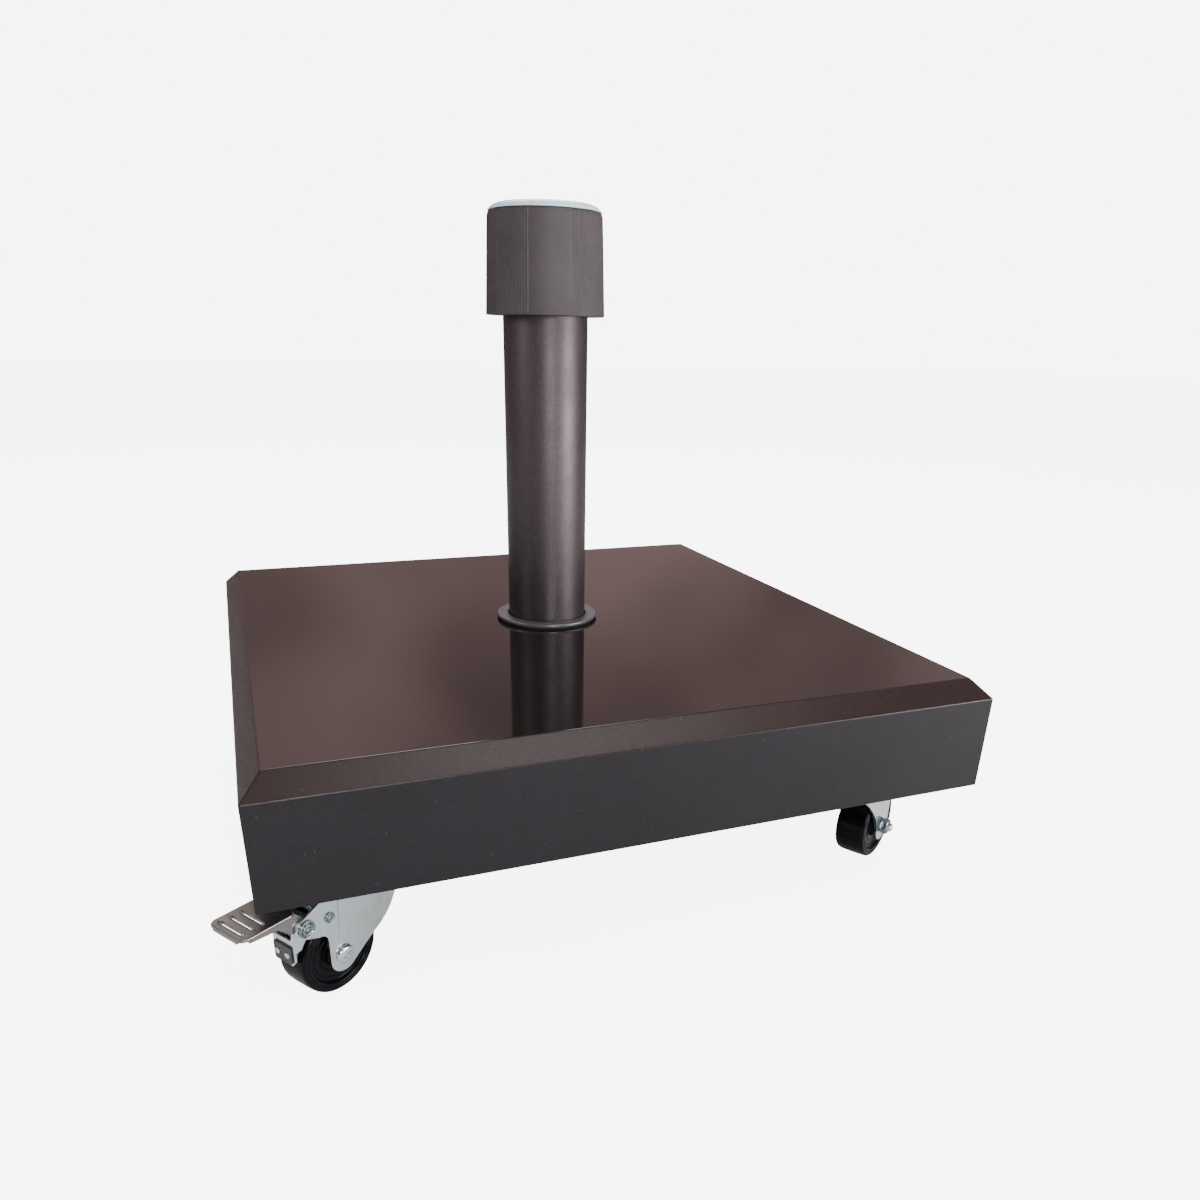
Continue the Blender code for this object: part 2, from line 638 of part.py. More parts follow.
def swivel_race():
    """The ball race between the top plate and the fork."""
    inner = KINGPIN_RADIUS + KINGPIN_PLAY
    waist = (RACE_TOP + RACE_BOTTOM) / 2
    pinch = RACE_GROOVE
    profile = [(inner, RACE_TOP), (RACE_RADIUS, RACE_TOP), (RACE_RADIUS, waist + pinch),
               (RACE_RADIUS - pinch, waist), (RACE_RADIUS, waist - pinch),
               (RACE_RADIUS - pinch, RACE_BOTTOM), (inner, RACE_BOTTOM)]
    return turned(profile, ROUND // 2)


def leg_outline(braked):
    """Side view of a fork leg: x behind the swivel axis, z above the floor."""
    low = (CASTER_TRAIL, WHEEL_RADIUS - LEG_TIP_DROP)
    tip = LEG_TIP_RADIUS
    reach = CROWN_REACH_BRAKED if braked else CROWN_REACH_PLAIN
    points = [(-LEG_LEAD, CROWN_TOP)]
    if braked:
        # The leading edge swells ahead of the wheel. Its points are multiples of the tip's radius.
        swell = ((-4.88, 3.60), (-4.07, 1.63), (-3.20, 0.70), (-2.03, 0.02))
    else:
        # The leading edge is hollow and follows the wheel, in the same multiples.
        swell = ((-4.70, 3.80), (-3.30, 2.90), (-2.10, 1.80), (-1.35, 0.90))
    points += [(CASTER_TRAIL + x * tip, WHEEL_RADIUS + z * tip) for x, z in swell]
    points += arc(low, tip, 225 if braked else 180, 360, 7)
    if not braked:
        return points + [(reach, CROWN_BOTTOM), (reach, CROWN_TOP)]
    corner = tip * 0.6
    notch = PIN_Z - LOBE_RADIUS - corner * 0.6
    centre = (low[0] + tip + corner, notch - corner)
    points += arc(centre, corner, 180, 90, 3)
    points += arc((PIN_X, PIN_Z), LOBE_RADIUS, -80, 65, 5)
    return points + [(reach, CROWN_TOP)]


def fork(braked):
    """Crown and two legs in one pressing, drilled for the kingpin, the axle and the pins."""
    meet = math.degrees(math.asin(LEG_OUTER / CROWN_RADIUS))
    crown_outline = arc((0, 0), CROWN_RADIUS, meet, 360 - meet, 16)
    reach = CROWN_REACH_BRAKED if braked else CROWN_REACH_PLAIN
    crown_outline += [(reach, -LEG_OUTER), (reach, LEG_OUTER)]
    middle = Matrix.Translation((0, 0, (CROWN_TOP + CROWN_BOTTOM) / 2))
    made = extruded(crown_outline, CROWN_THICKNESS, middle)
    outline = leg_outline(braked)
    for side in (-1, 1):
        shift = Matrix.Translation((0, side * (LEG_INNER + LEG_OUTER) / 2, 0)) @ ALONG_Y
        made = joined(made, extruded(outline, LEG_THICKNESS, shift))
    tools = [cylinder(KINGPIN_RADIUS + KINGPIN_PLAY, CROWN_BOTTOM - FIT, CROWN_TOP + FIT, SMALL)]
    bores = [(CASTER_TRAIL, WHEEL_RADIUS, AXLE_RADIUS + AXLE_PLAY)]
    if braked:
        bores.append((PIN_X, PIN_Z, PIN_RADIUS + PIN_PLAY))
        bores.append((CASTER_TRAIL + STOP_BACK, STOP_Z, STOP_RADIUS + PIN_PLAY))
    for x, z, radius in bores:
        drill = cylinder(radius, -PLATE_SIDE / 2, PLATE_SIDE / 2, SMALL)
        drill.transform(Matrix.Translation((x, 0, z)) @ ALONG_Y)
        tools.append(drill)
    return cut(made, *tools)


def wheel():
    """A solid wheel with a dished face. Flats of its rim stand on the floor at the wheel's radius."""
    swell = 1.0 / math.cos(math.pi / MIDDLE)
    half = WHEEL_WIDTH / 2
    shoulder = WHEEL_SHOULDER
    bore = BUSH_RADIUS + BUSH_PLAY
    side = [(bore, half + shoulder / 2), (WHEEL_HUB_RADIUS, half + shoulder / 2),
            (WHEEL_HUB_RADIUS + shoulder / 2, half - WHEEL_DISH),
            (WHEEL_RIM_INNER, half - WHEEL_DISH), (WHEEL_RIM_INNER + shoulder, half),
            (WHEEL_RADIUS - shoulder, half), (WHEEL_RADIUS, half - 2 * shoulder)]
    profile = [(radius * swell, height) for radius, height in side]
    profile += [(radius, -height) for radius, height in reversed(profile)]
    half_step = Matrix.Rotation(math.pi / MIDDLE, 4, "Z")
    place = Matrix.Translation((CASTER_TRAIL, 0, WHEEL_RADIUS)) @ ALONG_Y
    return turned(profile, MIDDLE, place @ half_step)


def across(profile, x, z, sides=SMALL):
    """A turned piece whose axis lies across the caster, given along its height from -Y to +Y."""
    place = Matrix.Translation((x, 0, z)) @ ALONG_Y.inverted()
    return turned(profile, sides, place)


def axle_parts():
    """The bush that the wheel turns on, the axle bolt through it and the bolt's nut."""
    length = LEG_INNER - FIT
    bore = AXLE_RADIUS + AXLE_PLAY
    bush = across([(bore, length), (BUSH_RADIUS, length), (BUSH_RADIUS, -length), (bore, -length)],
                  CASTER_TRAIL, WHEEL_RADIUS, ROUND // 2)
    face = LEG_OUTER + FIT
    crown = AXLE_HEAD * DOME_EDGE
    end = face + FIT + NUT_HEIGHT + AXLE_END
    bolt = across([(0.0, face + AXLE_HEAD), (AXLE_HEAD_RADIUS * DOME_FLAT, face + AXLE_HEAD),
                   (AXLE_HEAD_RADIUS, face + crown), (AXLE_HEAD_RADIUS, face), (AXLE_RADIUS, face),
                   (AXLE_RADIUS, -end), (0.0, -end)], CASTER_TRAIL, WHEEL_RADIUS)
    nut = cut(cylinder(hexagon_radius(NUT_FLATS), -face - NUT_HEIGHT, -face, 6),
              cylinder(AXLE_RADIUS + FIT, -face - NUT_HEIGHT - FIT, -face + FIT, SMALL))
    nut.transform(Matrix.Translation((CASTER_TRAIL, 0, WHEEL_RADIUS)) @ ALONG_Y.inverted())
    return bush, bolt, nut


def cross_pin(radius, head_radius, head, x, z):
    """A rivet through both legs with a domed head on each side."""
    face = LEG_OUTER + FIT
    profile = [(0.0, face + head), (head_radius * DOME_FLAT, face + head),
               (head_radius, face + head * DOME_EDGE), (head_radius, face), (radius, face)]
    profile += [(size, -height) for size, height in reversed(profile)]
    return across(profile, x, z)


def pedal():
    """Foot plate with pressed slots, its two arms, the lip at its tip and the lock tongue."""
    top = PIN_Z + PEDAL_RISE
    low = top - PEDAL_SHEET
    start, end = PIN_X + PEDAL_START, PIN_X + PEDAL_END
    middle = ((start + end) / 2, 0, (top + low) / 2)
    plate = extruded(rounded_rectangle((end - start) / 2, PEDAL_WIDTH / 2, PEDAL_CORNER, 2),
                     PEDAL_SHEET, Matrix.Translation(middle))
    reach = PEDAL_WIDTH / 2 - PEDAL_CORNER
    lip = box((end - PEDAL_SHEET, -reach, top - PEDAL_LIP), (end, reach, low + PEDAL_SHEET / 2))
    arm_outer = LEG_INNER - 2 * FIT
    arm_middle = arm_outer - PEDAL_SHEET / 2
    tongue_low, tongue_high = PIN_Z - PEDAL_SHEET, PIN_Z + PEDAL_SHEET / 2
    outline = arc((PIN_X, PIN_Z), LOBE_RADIUS - PEDAL_EYE_INSET, 120, 330, 6)
    outline += [((start + end) / 2, low), ((start + end) / 2, low + PEDAL_SHEET / 2),
                (start + PEDAL_SHEET, low + PEDAL_SHEET / 2)]
    sunk = low + PEDAL_SHEET / 2
    flange_start, flange_end = PIN_X + PEDAL_FLANGE_START, end - PEDAL_CORNER
    flange = [(flange_start, low - PEDAL_FLANGE), (flange_end, top - PEDAL_LIP),
              (flange_end, sunk), (flange_start, sunk)]
    made = joined(plate, lip)
    for side in (-1, 1):
        shift = Matrix.Translation((0, side * arm_middle, 0)) @ ALONG_Y
        made = joined(made, extruded(outline, PEDAL_SHEET, shift))
        shift = Matrix.Translation((0, side * (PEDAL_WIDTH - PEDAL_SHEET) / 2, 0)) @ ALONG_Y
        made = joined(made, extruded(flange, PEDAL_SHEET, shift))
    tongue = box((PIN_X - PEDAL_TONGUE, -arm_middle, tongue_low),
                 (PIN_X - SHOE_LOBE - 2 * FIT, arm_middle, tongue_high))
    made = joined(made, tongue)
    half_slot = PEDAL_WIDTH / 2 - PEDAL_SLOT_MARGIN
    tools = []
    for index in range(PEDAL_SLOTS):
        x = end - PEDAL_SLOT_START - PEDAL_SLOT_PITCH * index
        tools.append(box((x - PEDAL_SLOT_WIDTH / 2, -half_slot, low - PEDAL_SHEET),
                         (x + PEDAL_SLOT_WIDTH / 2, half_slot, top + PEDAL_SHEET)))
    drill = cylinder(PIN_RADIUS + PIN_PLAY, -PEDAL_WIDTH, PEDAL_WIDTH, SMALL)
    drill.transform(Matrix.Translation((PIN_X, 0, PIN_Z)) @ ALONG_Y)
    return cut(made, *tools, drill)


def brake_shoe():
    """A folded shoe behind the wheel: two cheeks on the pin, a band round the tread and a back."""
    axle = (CASTER_TRAIL, WHEEL_RADIUS)
    inner = WHEEL_RADIUS + SHOE_PLAY
    back = CASTER_TRAIL + SHOE_BACK
    low, high = WHEEL_RADIUS + SHOE_LOW, WHEEL_RADIUS + SHOE_HIGH
    tread = arc(axle, inner, *SHOE_ARC, 6)
    cheek = tread + [(back, low), (back, high)]
    cheek += arc((PIN_X, PIN_Z), SHOE_LOBE, -10, 215, 6)
    band = tread + list(reversed(arc(axle, inner + SHOE_SHEET, *SHOE_ARC, 6)))
    width = SHOE_WIDTH
    made = extruded(band, width, ALONG_Y)
    made = joined(made, box((back - SHOE_SHEET, -width / 2, low), (back, width / 2, high)))
    for side in (-1, 1):
        shift = Matrix.Translation((0, side * (width - SHOE_SHEET) / 2, 0)) @ ALONG_Y
        made = joined(made, extruded(cheek, SHOE_SHEET, shift))
    drill = cylinder(PIN_RADIUS + PIN_PLAY, -width, width, SMALL)
    drill.transform(Matrix.Translation((PIN_X, 0, PIN_Z)) @ ALONG_Y)
    return cut(made, drill)


def shoe_pad():
    """The dark plate on the back of the shoe, drilled for its two rivets, and one rivet."""
    back = CASTER_TRAIL + SHOE_BACK + FIT
    centre = WHEEL_RADIUS + (SHOE_LOW + SHOE_HIGH) / 2
    high, wide = SHOE_PAD_HEIGHT / 2, SHOE_PAD_WIDTH / 2
    pad = box((back, -wide, centre - high), (back + SHOE_PAD_THICKNESS, wide, centre + high))
    along_x = Matrix.Rotation(math.pi / 2, 4, "Y")
    for side in (-1, 1):
        drill = cylinder(SHOE_RIVET_RADIUS, -SHOE_SHEET, SHOE_SHEET, SMALL // 2)
        drill.transform(Matrix.Translation((back, side * SHOE_RIVET_SPREAD, centre)) @ along_x)
        pad = cut(pad, drill)
    shank = SHOE_RIVET_RADIUS - FIT
    head = SHOE_RIVET_RADIUS + SHOE_RIVET_BRIM
    top = SHOE_PAD_THICKNESS + FIT + SHOE_RIVET_HEIGHT
    seat = SHOE_PAD_THICKNESS + FIT
    edge = seat + SHOE_RIVET_HEIGHT * DOME_EDGE
    profile = [(0.0, top), (head * DOME_FLAT, top), (head, edge), (head, seat),
               (shank, seat), (shank, 0.0), (0.0, 0.0)]
    rivet = turned(profile, SMALL, Matrix.Translation((back, 0, centre)) @ along_x)
    return pad, rivet


def casters():
    """Four casters from one set of meshes, each in its own frame on its swivel axis."""
    plate, race = mount_plate(), swivel_race()
    forks = {braked: fork(braked) for braked in (True, False)}
    wheel_mesh = wheel()
    bush, bolt, nut = axle_parts()
    pin = cross_pin(PIN_RADIUS, PIN_HEAD_RADIUS, PIN_HEAD, PIN_X, PIN_Z)
    stop = cross_pin(STOP_RADIUS, STOP_HEAD_RADIUS, STOP_HEAD, CASTER_TRAIL + STOP_BACK, STOP_Z)
    pedal_mesh, shoe = pedal(), brake_shoe()
    pad, rivet = shoe_pad()
    axle = (CASTER_TRAIL, 0.0, WHEEL_RADIUS)
    hinge = (PIN_X, 0.0, PIN_Z)
    for corner, (_, _, azimuth, braked) in CASTERS.items():
        centre = (*caster_centre(corner), 0.0)
        fixed = empty(f"mount_{corner}", centre)
        swivel = empty(f"swivel_{corner}", centre, azimuth)
        node(f"mount_plate_{corner}", plate, ZINC, fixed)
        node(f"swivel_race_{corner}", race, ZINC, fixed)
        node(f"fork_{corner}", forks[braked], ZINC, swivel)
        node(f"wheel_{corner}", wheel_mesh, WHEEL_BLACK, swivel, axle)
        node(f"axle_bush_{corner}", bush, BRONZE_BUSH, swivel, axle)
        node(f"axle_bolt_{corner}", bolt, ZINC, swivel, axle)
        node(f"axle_nut_{corner}", nut, ZINC, swivel, axle)
        if not braked:
            continue
        node(f"pedal_pin_{corner}", pin, ZINC, swivel, hinge)
        node(f"stop_pin_{corner}", stop, ZINC, swivel)
        node(f"brake_pedal_{corner}", pedal_mesh, STEEL, swivel, hinge)
        node(f"brake_shoe_{corner}", shoe, ZINC, swivel, hinge)
        node(f"shoe_pad_{corner}", pad, DARK_STEEL, swivel, hinge)
        for index, side in enumerate((-1, 1), start=1):
            moved = rivet.copy()
            moved.transform(Matrix.Translation((0, side * SHOE_RIVET_SPREAD, 0)))
            node(f"shoe_rivet_{corner}_{index}", moved, ZINC, swivel, hinge)


granite_slab()
stem_tube()
cover_ring()
flange_plate()
pole_seat()
thread_collar()
grip_collet()
clamp_knob(pressure_ring())
knob_cap()
casters()
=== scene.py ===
# %% [markdown]
# # A parasol base in Blender
#
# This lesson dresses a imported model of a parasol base. The real object is a square granite slab on
# four swivel casters. A steel stem stands in the middle, and a ribbed knob at its top grips the pole.
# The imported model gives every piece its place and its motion, and here each piece gets its fine
# shape and its finish. Everything is in metres, with Z up and the floor at zero.

import json
import math

import bmesh
import bpy
from mathutils import Matrix, Vector


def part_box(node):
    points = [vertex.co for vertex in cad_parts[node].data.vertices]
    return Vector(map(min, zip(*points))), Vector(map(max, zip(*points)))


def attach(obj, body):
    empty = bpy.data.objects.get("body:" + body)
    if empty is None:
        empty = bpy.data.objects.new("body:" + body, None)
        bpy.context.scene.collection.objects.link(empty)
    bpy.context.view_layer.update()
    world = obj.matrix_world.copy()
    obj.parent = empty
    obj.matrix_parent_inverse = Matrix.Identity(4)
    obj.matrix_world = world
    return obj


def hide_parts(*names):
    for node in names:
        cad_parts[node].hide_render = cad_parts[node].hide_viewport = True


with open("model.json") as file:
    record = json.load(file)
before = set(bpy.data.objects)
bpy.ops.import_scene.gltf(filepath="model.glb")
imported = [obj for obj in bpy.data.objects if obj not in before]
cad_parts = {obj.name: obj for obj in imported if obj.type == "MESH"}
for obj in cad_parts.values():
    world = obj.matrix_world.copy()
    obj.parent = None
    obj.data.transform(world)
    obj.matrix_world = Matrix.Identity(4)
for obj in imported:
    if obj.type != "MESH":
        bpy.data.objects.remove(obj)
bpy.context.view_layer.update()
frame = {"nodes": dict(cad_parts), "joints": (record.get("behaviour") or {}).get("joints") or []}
joints = {joint["name"]: joint for joint in frame["joints"]}

# %% [markdown]
# ## Camera first
#
# The camera stands to the front left, a little below the knob's top, and looks down on the slab.
# A camera could be aimed with a Track To constraint, but a matrix built from its right, up and
# backward directions says exactly how it stands. The lens shift keeps the object in the frame
# without tipping the camera, as a photographer's shift lens does.

# %% Place the camera
slab_low, slab_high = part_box("granite_slab")
CAMERA_AT = Vector((-0.2751, -0.8536, 0.3539 + slab_low.z))
RIGHT = Vector((0.9312, -0.3639, 0.0220)).normalized()
FORWARD = Vector((0.3399, 0.8446, -0.4137)).normalized()
UP = RIGHT.cross(FORWARD).normalized()

lens = bpy.data.cameras.new("camera")
lens.lens = 27.46
lens.sensor_width = 36.0
lens.shift_x = -0.0056
lens.shift_y = 0.127
lens.clip_start = 0.02
camera = bpy.data.objects.new("camera", lens)
bpy.context.scene.collection.objects.link(camera)
axes = Matrix((RIGHT, UP, -FORWARD)).transposed().to_4x4()
camera.matrix_world = Matrix.Translation(CAMERA_AT) @ axes
bpy.context.scene.camera = camera
print("camera at", tuple(round(v, 3) for v in CAMERA_AT))

# %% [markdown]
# ## Helpers for making solids
#
# Most pieces of this object are made on a lathe or cut from sheet. The two helpers below do the
# same. `turned` spins a closed profile of (radius, height) points round Z. `sheet` thickens a flat
# outline. The Screw modifier and a curve with an extrude would give the same shapes, but bmesh
# leaves a plain mesh that can be cut and bent at once.

# %% Profiles with rounded corners
def eased(points, radius, steps=3, closed=True):
    """The same corners, each replaced by a short curve. A radius may be given for each corner."""
    made = []
    count = len(points)
    for i, corner in enumerate(points):
        size = radius[i] if isinstance(radius, (list, tuple)) else radius
        if size == 0 or (not closed and i in (0, count - 1)):
            made.append(tuple(corner))
            continue
        here = Vector(corner)
        before, after = Vector(points[i - 1]) - here, Vector(points[(i + 1) % count]) - here
        start = here + before.normalized() * min(size, before.length * 0.48)
        end = here + after.normalized() * min(size, after.length * 0.48)
        for step in range(steps + 1):
            t = step / steps
            made.append(tuple(start * (1 - t) ** 2 + here * 2 * t * (1 - t) + end * t**2))
    return made


print("a square with eased corners has", len(eased([(0, 0), (1, 0), (1, 1), (0, 1)], 0.1)), "points")


# %% Solids from a lathe and from sheet
def mesh_from(shape, name):
    """A mesh from a bmesh, with all faces turned outwards."""
    bmesh.ops.remove_doubles(shape, verts=shape.verts, dist=1e-7)
    bmesh.ops.recalc_face_normals(shape, faces=shape.faces)
    mesh = bpy.data.meshes.new(name)
    shape.to_mesh(mesh)
    shape.free()
    return mesh


def turned(name, profile, sides=128):
    """A solid turned about Z from a closed profile of (radius, height) points."""
    shape = bmesh.new()
    verts = [shape.verts.new((radius, 0, height)) for radius, height in profile]
    edges = [shape.edges.new((verts[i - 1], vert)) for i, vert in enumerate(verts)]
    bmesh.ops.spin(shape, geom=verts + edges, cent=(0, 0, 0), axis=(0, 0, 1), dvec=(0, 0, 0),
                   angle=math.tau, steps=sides, use_merge=True)
    bmesh.ops.dissolve_degenerate(shape, edges=shape.edges, dist=1e-7)
    return mesh_from(shape, name)


def sheet(name, outline, thickness):
    """A flat outline in XY, made solid half above and half below Z zero."""
    shape = bmesh.new()
    face = shape.faces.new([shape.verts.new((x, y, -thickness / 2)) for x, y in outline])
    grown = bmesh.ops.extrude_face_region(shape, geom=[face])["geom"]
    lifted = [item for item in grown if isinstance(item, bmesh.types.BMVert)]
    bmesh.ops.translate(shape, verts=lifted, vec=(0, 0, thickness))
    return mesh_from(shape, name)


def block(name, low, high):
    """A box between two corners, used for cutting and for straight folds."""
    low, high = Vector(low), Vector(high)
    shape = bmesh.new()
    bmesh.ops.create_cube(shape, size=1.0, matrix=Matrix.Translation((low + high) / 2)
                          @ Matrix.Diagonal((*(high - low), 1.0)))
    return mesh_from(shape, name)


def moved(mesh, matrix):
    mesh.transform(matrix)
    if matrix.determinant() < 0:
        mesh.flip_normals()
    return mesh


def arc(centre, radius, start, end, steps):
    """Points on an arc between two angles in degrees."""
    turn = [math.radians(start + (end - start) * i / steps) for i in range(steps + 1)]
    return [(centre[0] + radius * math.cos(a), centre[1] + radius * math.sin(a)) for a in turn]


print("a turned ring has", len(turned("try", [(1, 0), (2, 0), (2, 1), (1, 1)]).polygons), "faces")


# %% [markdown]
# Pieces are joined and cut with the Boolean modifier. Its EXACT solver copes with faces that lie on
# each other. After that a narrow Bevel rounds every sharp edge, because no real edge is perfectly
# sharp, and it is the thin bright line along an edge that makes metal and stone look real.

# %% Join, cut and round the edges
def object_of(mesh, name):
    made = bpy.data.objects.new(name, mesh)
    bpy.context.scene.collection.objects.link(made)
    return made


def applied(obj):
    """The object's mesh with its modifiers applied. The object itself is removed."""
    bpy.context.view_layer.update()
    mesh = bpy.data.meshes.new_from_object(obj.evaluated_get(bpy.context.evaluated_depsgraph_get()))
    bpy.data.objects.remove(obj, do_unlink=True)
    return mesh


def combined(mesh, others, operation):
    for other in others:
        body, tool = object_of(mesh, "body"), object_of(other, "tool")
        boolean = body.modifiers.new("boolean", "BOOLEAN")
        boolean.operation, boolean.solver, boolean.object = operation, "EXACT", tool
        mesh = applied(body)
        bpy.data.objects.remove(tool, do_unlink=True)
    return mesh


def joined(mesh, *others):
    return combined(mesh, others, "UNION")


def cut(mesh, *others):
    return combined(mesh, others, "DIFFERENCE")


def rounded(mesh, width, segments=2, angle=32.0):
    """The mesh with a narrow bevel along every edge that is sharper than the angle."""
    body = object_of(mesh, "body")
    weld = body.modifiers.new("weld", "WELD")
    weld.merge_threshold = 2e-6
    bevel = body.modifiers.new("bevel", "BEVEL")
    bevel.width, bevel.segments, bevel.limit_method = width, segments, "ANGLE"
    bevel.angle_limit = math.radians(angle)
    return applied(body)


def piece(name, mesh, looks, body, stands_for=(), place=None, crease=35.0, flat=False):
    """A finished piece. It rides on a body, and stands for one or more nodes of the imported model.

    A flat piece has wide flat faces, which keep their own normals right up to their rounded edges.
    """
    mesh = mesh.copy()
    mesh.name = name
    if place is not None:
        moved(mesh, place)
    mesh.materials.clear()
    for look in looks if isinstance(looks, list) else [looks]:
        mesh.materials.append(look)
    mesh.shade_smooth()
    mesh.set_sharp_from_angle(angle=math.radians(crease))
    made = object_of(mesh, name)
    if flat:
        made.modifiers.new("flat_faces", "WEIGHTED_NORMAL").keep_sharp = True
    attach(made, body)
    if stands_for:
        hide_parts(*stands_for)
    return made


print("edge helpers ready")


# %% [markdown]
# ## Finishes
#
# Each finish is a small node tree on a Principled shader. Noise in the object's own coordinates
# varies the colour and the roughness, and a Bump node adds grain that is too fine to model. Object
# coordinates are in metres here, so a noise scale of 1000 gives grains of about a millimetre. An
# image texture could do the same, but nodes need no files and never run out of detail.

# %% A node tree builder
class Finish:
    """A Principled material with short ways to add noise, ramps and bump."""

    def __init__(self, name, roughness=0.5, metallic=0.0, **sockets):
        self.material = bpy.data.materials.new(name)
        self.material.use_nodes = True
        self.nodes, self.links = self.material.node_tree.nodes, self.material.node_tree.links
        self.shader = self.nodes["Principled BSDF"]
        self.shader.inputs["Roughness"].default_value = roughness
        self.shader.inputs["Metallic"].default_value = metallic
        for socket, value in sockets.items():
            self.shader.inputs[socket.replace("_", " ")].default_value = value
        self.where = self.nodes.new("ShaderNodeTexCoord").outputs["Object"]
        self.bumps = None

    def stretched(self, x, y, z):
        """Coordinates scaled along each axis, for grain that runs one way."""
        mapping = self.nodes.new("ShaderNodeMapping")
        mapping.inputs["Scale"].default_value = (x, y, z)
        self.links.new(self.where, mapping.inputs["Vector"])
        return mapping.outputs["Vector"]

    def noise(self, scale, detail=3.0, where=None, roughness=0.55):
        node = self.nodes.new("ShaderNodeTexNoise")
        node.inputs["Scale"].default_value = scale
        node.inputs["Detail"].default_value = detail
        node.inputs["Roughness"].default_value = roughness
        self.links.new(where or self.where, node.inputs["Vector"])
        return node.outputs["Fac"]

    def cells(self, scale, feature="F1", output="Distance"):
        node = self.nodes.new("ShaderNodeTexVoronoi")
        node.feature = feature
        node.inputs["Scale"].default_value = scale
        self.links.new(self.where, node.inputs["Vector"])
        return node.outputs[output]

    def math(self, operation, first, second=0.0):
        node = self.nodes.new("ShaderNodeMath")
        node.operation = operation
        for socket, value in zip(node.inputs, (first, second)):
            if isinstance(value, (int, float)):
                socket.default_value = value
            else:
                self.links.new(value, socket)
        return node.outputs["Value"]

    def radius(self):
        """Distance from the Z axis, for marks left by a lathe."""
        parts = self.nodes.new("ShaderNodeSeparateXYZ")
        self.links.new(self.where, parts.inputs["Vector"])
        x, y = parts.outputs["X"], parts.outputs["Y"]
        square = self.math("ADD", self.math("MULTIPLY", x, x), self.math("MULTIPLY", y, y))
        return self.math("SQRT", square)

    def rings(self, scale):
        """Noise that changes only with the distance from the Z axis."""
        node = self.nodes.new("ShaderNodeCombineXYZ")
        self.links.new(self.radius(), node.inputs["X"])
        return self.noise(scale, 2.0, node.outputs["Vector"])

    def ramp(self, value, *stops):
        """Colours or greys along a value: each stop is (position, colour or number)."""
        node = self.nodes.new("ShaderNodeValToRGB")
        band = node.color_ramp
        while len(band.elements) < len(stops):
            band.elements.new(0.5)
        for element, (position, colour) in zip(band.elements, stops):
            element.position = position
            grey = isinstance(colour, (int, float))
            element.color = (colour, colour, colour, 1.0) if grey else (*colour, 1.0)
        self.links.new(value, node.inputs["Fac"])
        return node.outputs["Color"]

    def mix(self, factor, first, second, kind="MIX"):
        node = self.nodes.new("ShaderNodeMix")
        node.data_type, node.blend_type = "RGBA", kind
        for socket, value in zip((node.inputs[0], node.inputs[6], node.inputs[7]),
                                 (factor, first, second)):
            if isinstance(value, (int, float)):
                socket.default_value = value
            elif isinstance(value, tuple):
                socket.default_value = (*value, 1.0)
            else:
                self.links.new(value, socket)
        return node.outputs[2]

    def colour(self, output):
        self.links.new(output, self.shader.inputs["Base Color"])

    def rough(self, output, low, high):
        """Roughness that follows a value between two limits."""
        node = self.nodes.new("ShaderNodeMapRange")
        node.inputs["From Min"].default_value, node.inputs["From Max"].default_value = 0.3, 0.7
        node.inputs["To Min"].default_value, node.inputs["To Max"].default_value = low, high
        self.links.new(output, node.inputs["Value"])
        self.links.new(node.outputs["Result"], self.shader.inputs["Roughness"])

    def bump(self, height, strength, distance):
        node = self.nodes.new("ShaderNodeBump")
        node.inputs["Strength"].default_value = strength
        node.inputs["Distance"].default_value = distance
        self.links.new(height, node.inputs["Height"])
        if self.bumps:
            self.links.new(self.bumps, node.inputs["Normal"])
        self.bumps = node.outputs["Normal"]
        self.links.new(self.bumps, self.shader.inputs["Normal"])


print("finish builder ready")


# %% [markdown]
# Black granite is a mass of dark crystals a millimetre or two across, with a few brown ones and tiny
# bright flecks of mica. One stone carries four finishes: the top is polished to a mirror, the
# chamfer is only ground, the sides are honed matt, and the underside is left as the saw cut it.
# Cells from a Voronoi texture make the crystals, and the same crystals are used for all four.

# %% Granite
def granite(name, tone, spread, low, high, pits, **sockets):
    """Stone in one finish. Spread says how far its crystals are from the tone, as a share of it."""
    stone = Finish(name, **sockets)
    dark = tuple(c * (1 - spread) for c in tone)
    light = tuple(c * (1 + spread) for c in tone)
    body = stone.ramp(stone.cells(900.0, output="Color"), (0.15, dark), (0.50, tone), (0.90, light))
    cloud = stone.ramp(stone.noise(9.0, 4.0), (0.30, 0.80), (0.70, 1.0))
    body = stone.mix(1.0, body, cloud, "MULTIPLY")
    brown = stone.ramp(stone.noise(300.0, 2.0), (0.58, 0.0), (0.72, 0.5))
    body = stone.mix(brown, body, (tone[0] * 1.7, tone[1] * 1.1, tone[2] * 0.9))
    fleck = stone.ramp(stone.cells(260.0), (0.05, 0.8), (0.09, 0.0))
    rare = stone.ramp(stone.noise(120.0, 1.0), (0.60, 0.0), (0.66, 1.0))
    body = stone.mix(stone.mix(1.0, fleck, rare, "MULTIPLY"), body, (0.22, 0.21, 0.20))
    stone.colour(body)
    stone.rough(stone.noise(500.0, 3.0), low, high)
    stone.bump(stone.noise(900.0, 4.0), pits, 0.0003)
    if pits > 0.1:
        hole = stone.ramp(stone.cells(120.0), (0.03, 0.0), (0.07, 1.0))
        stone.bump(hole, pits, 0.0006)
    return stone.material


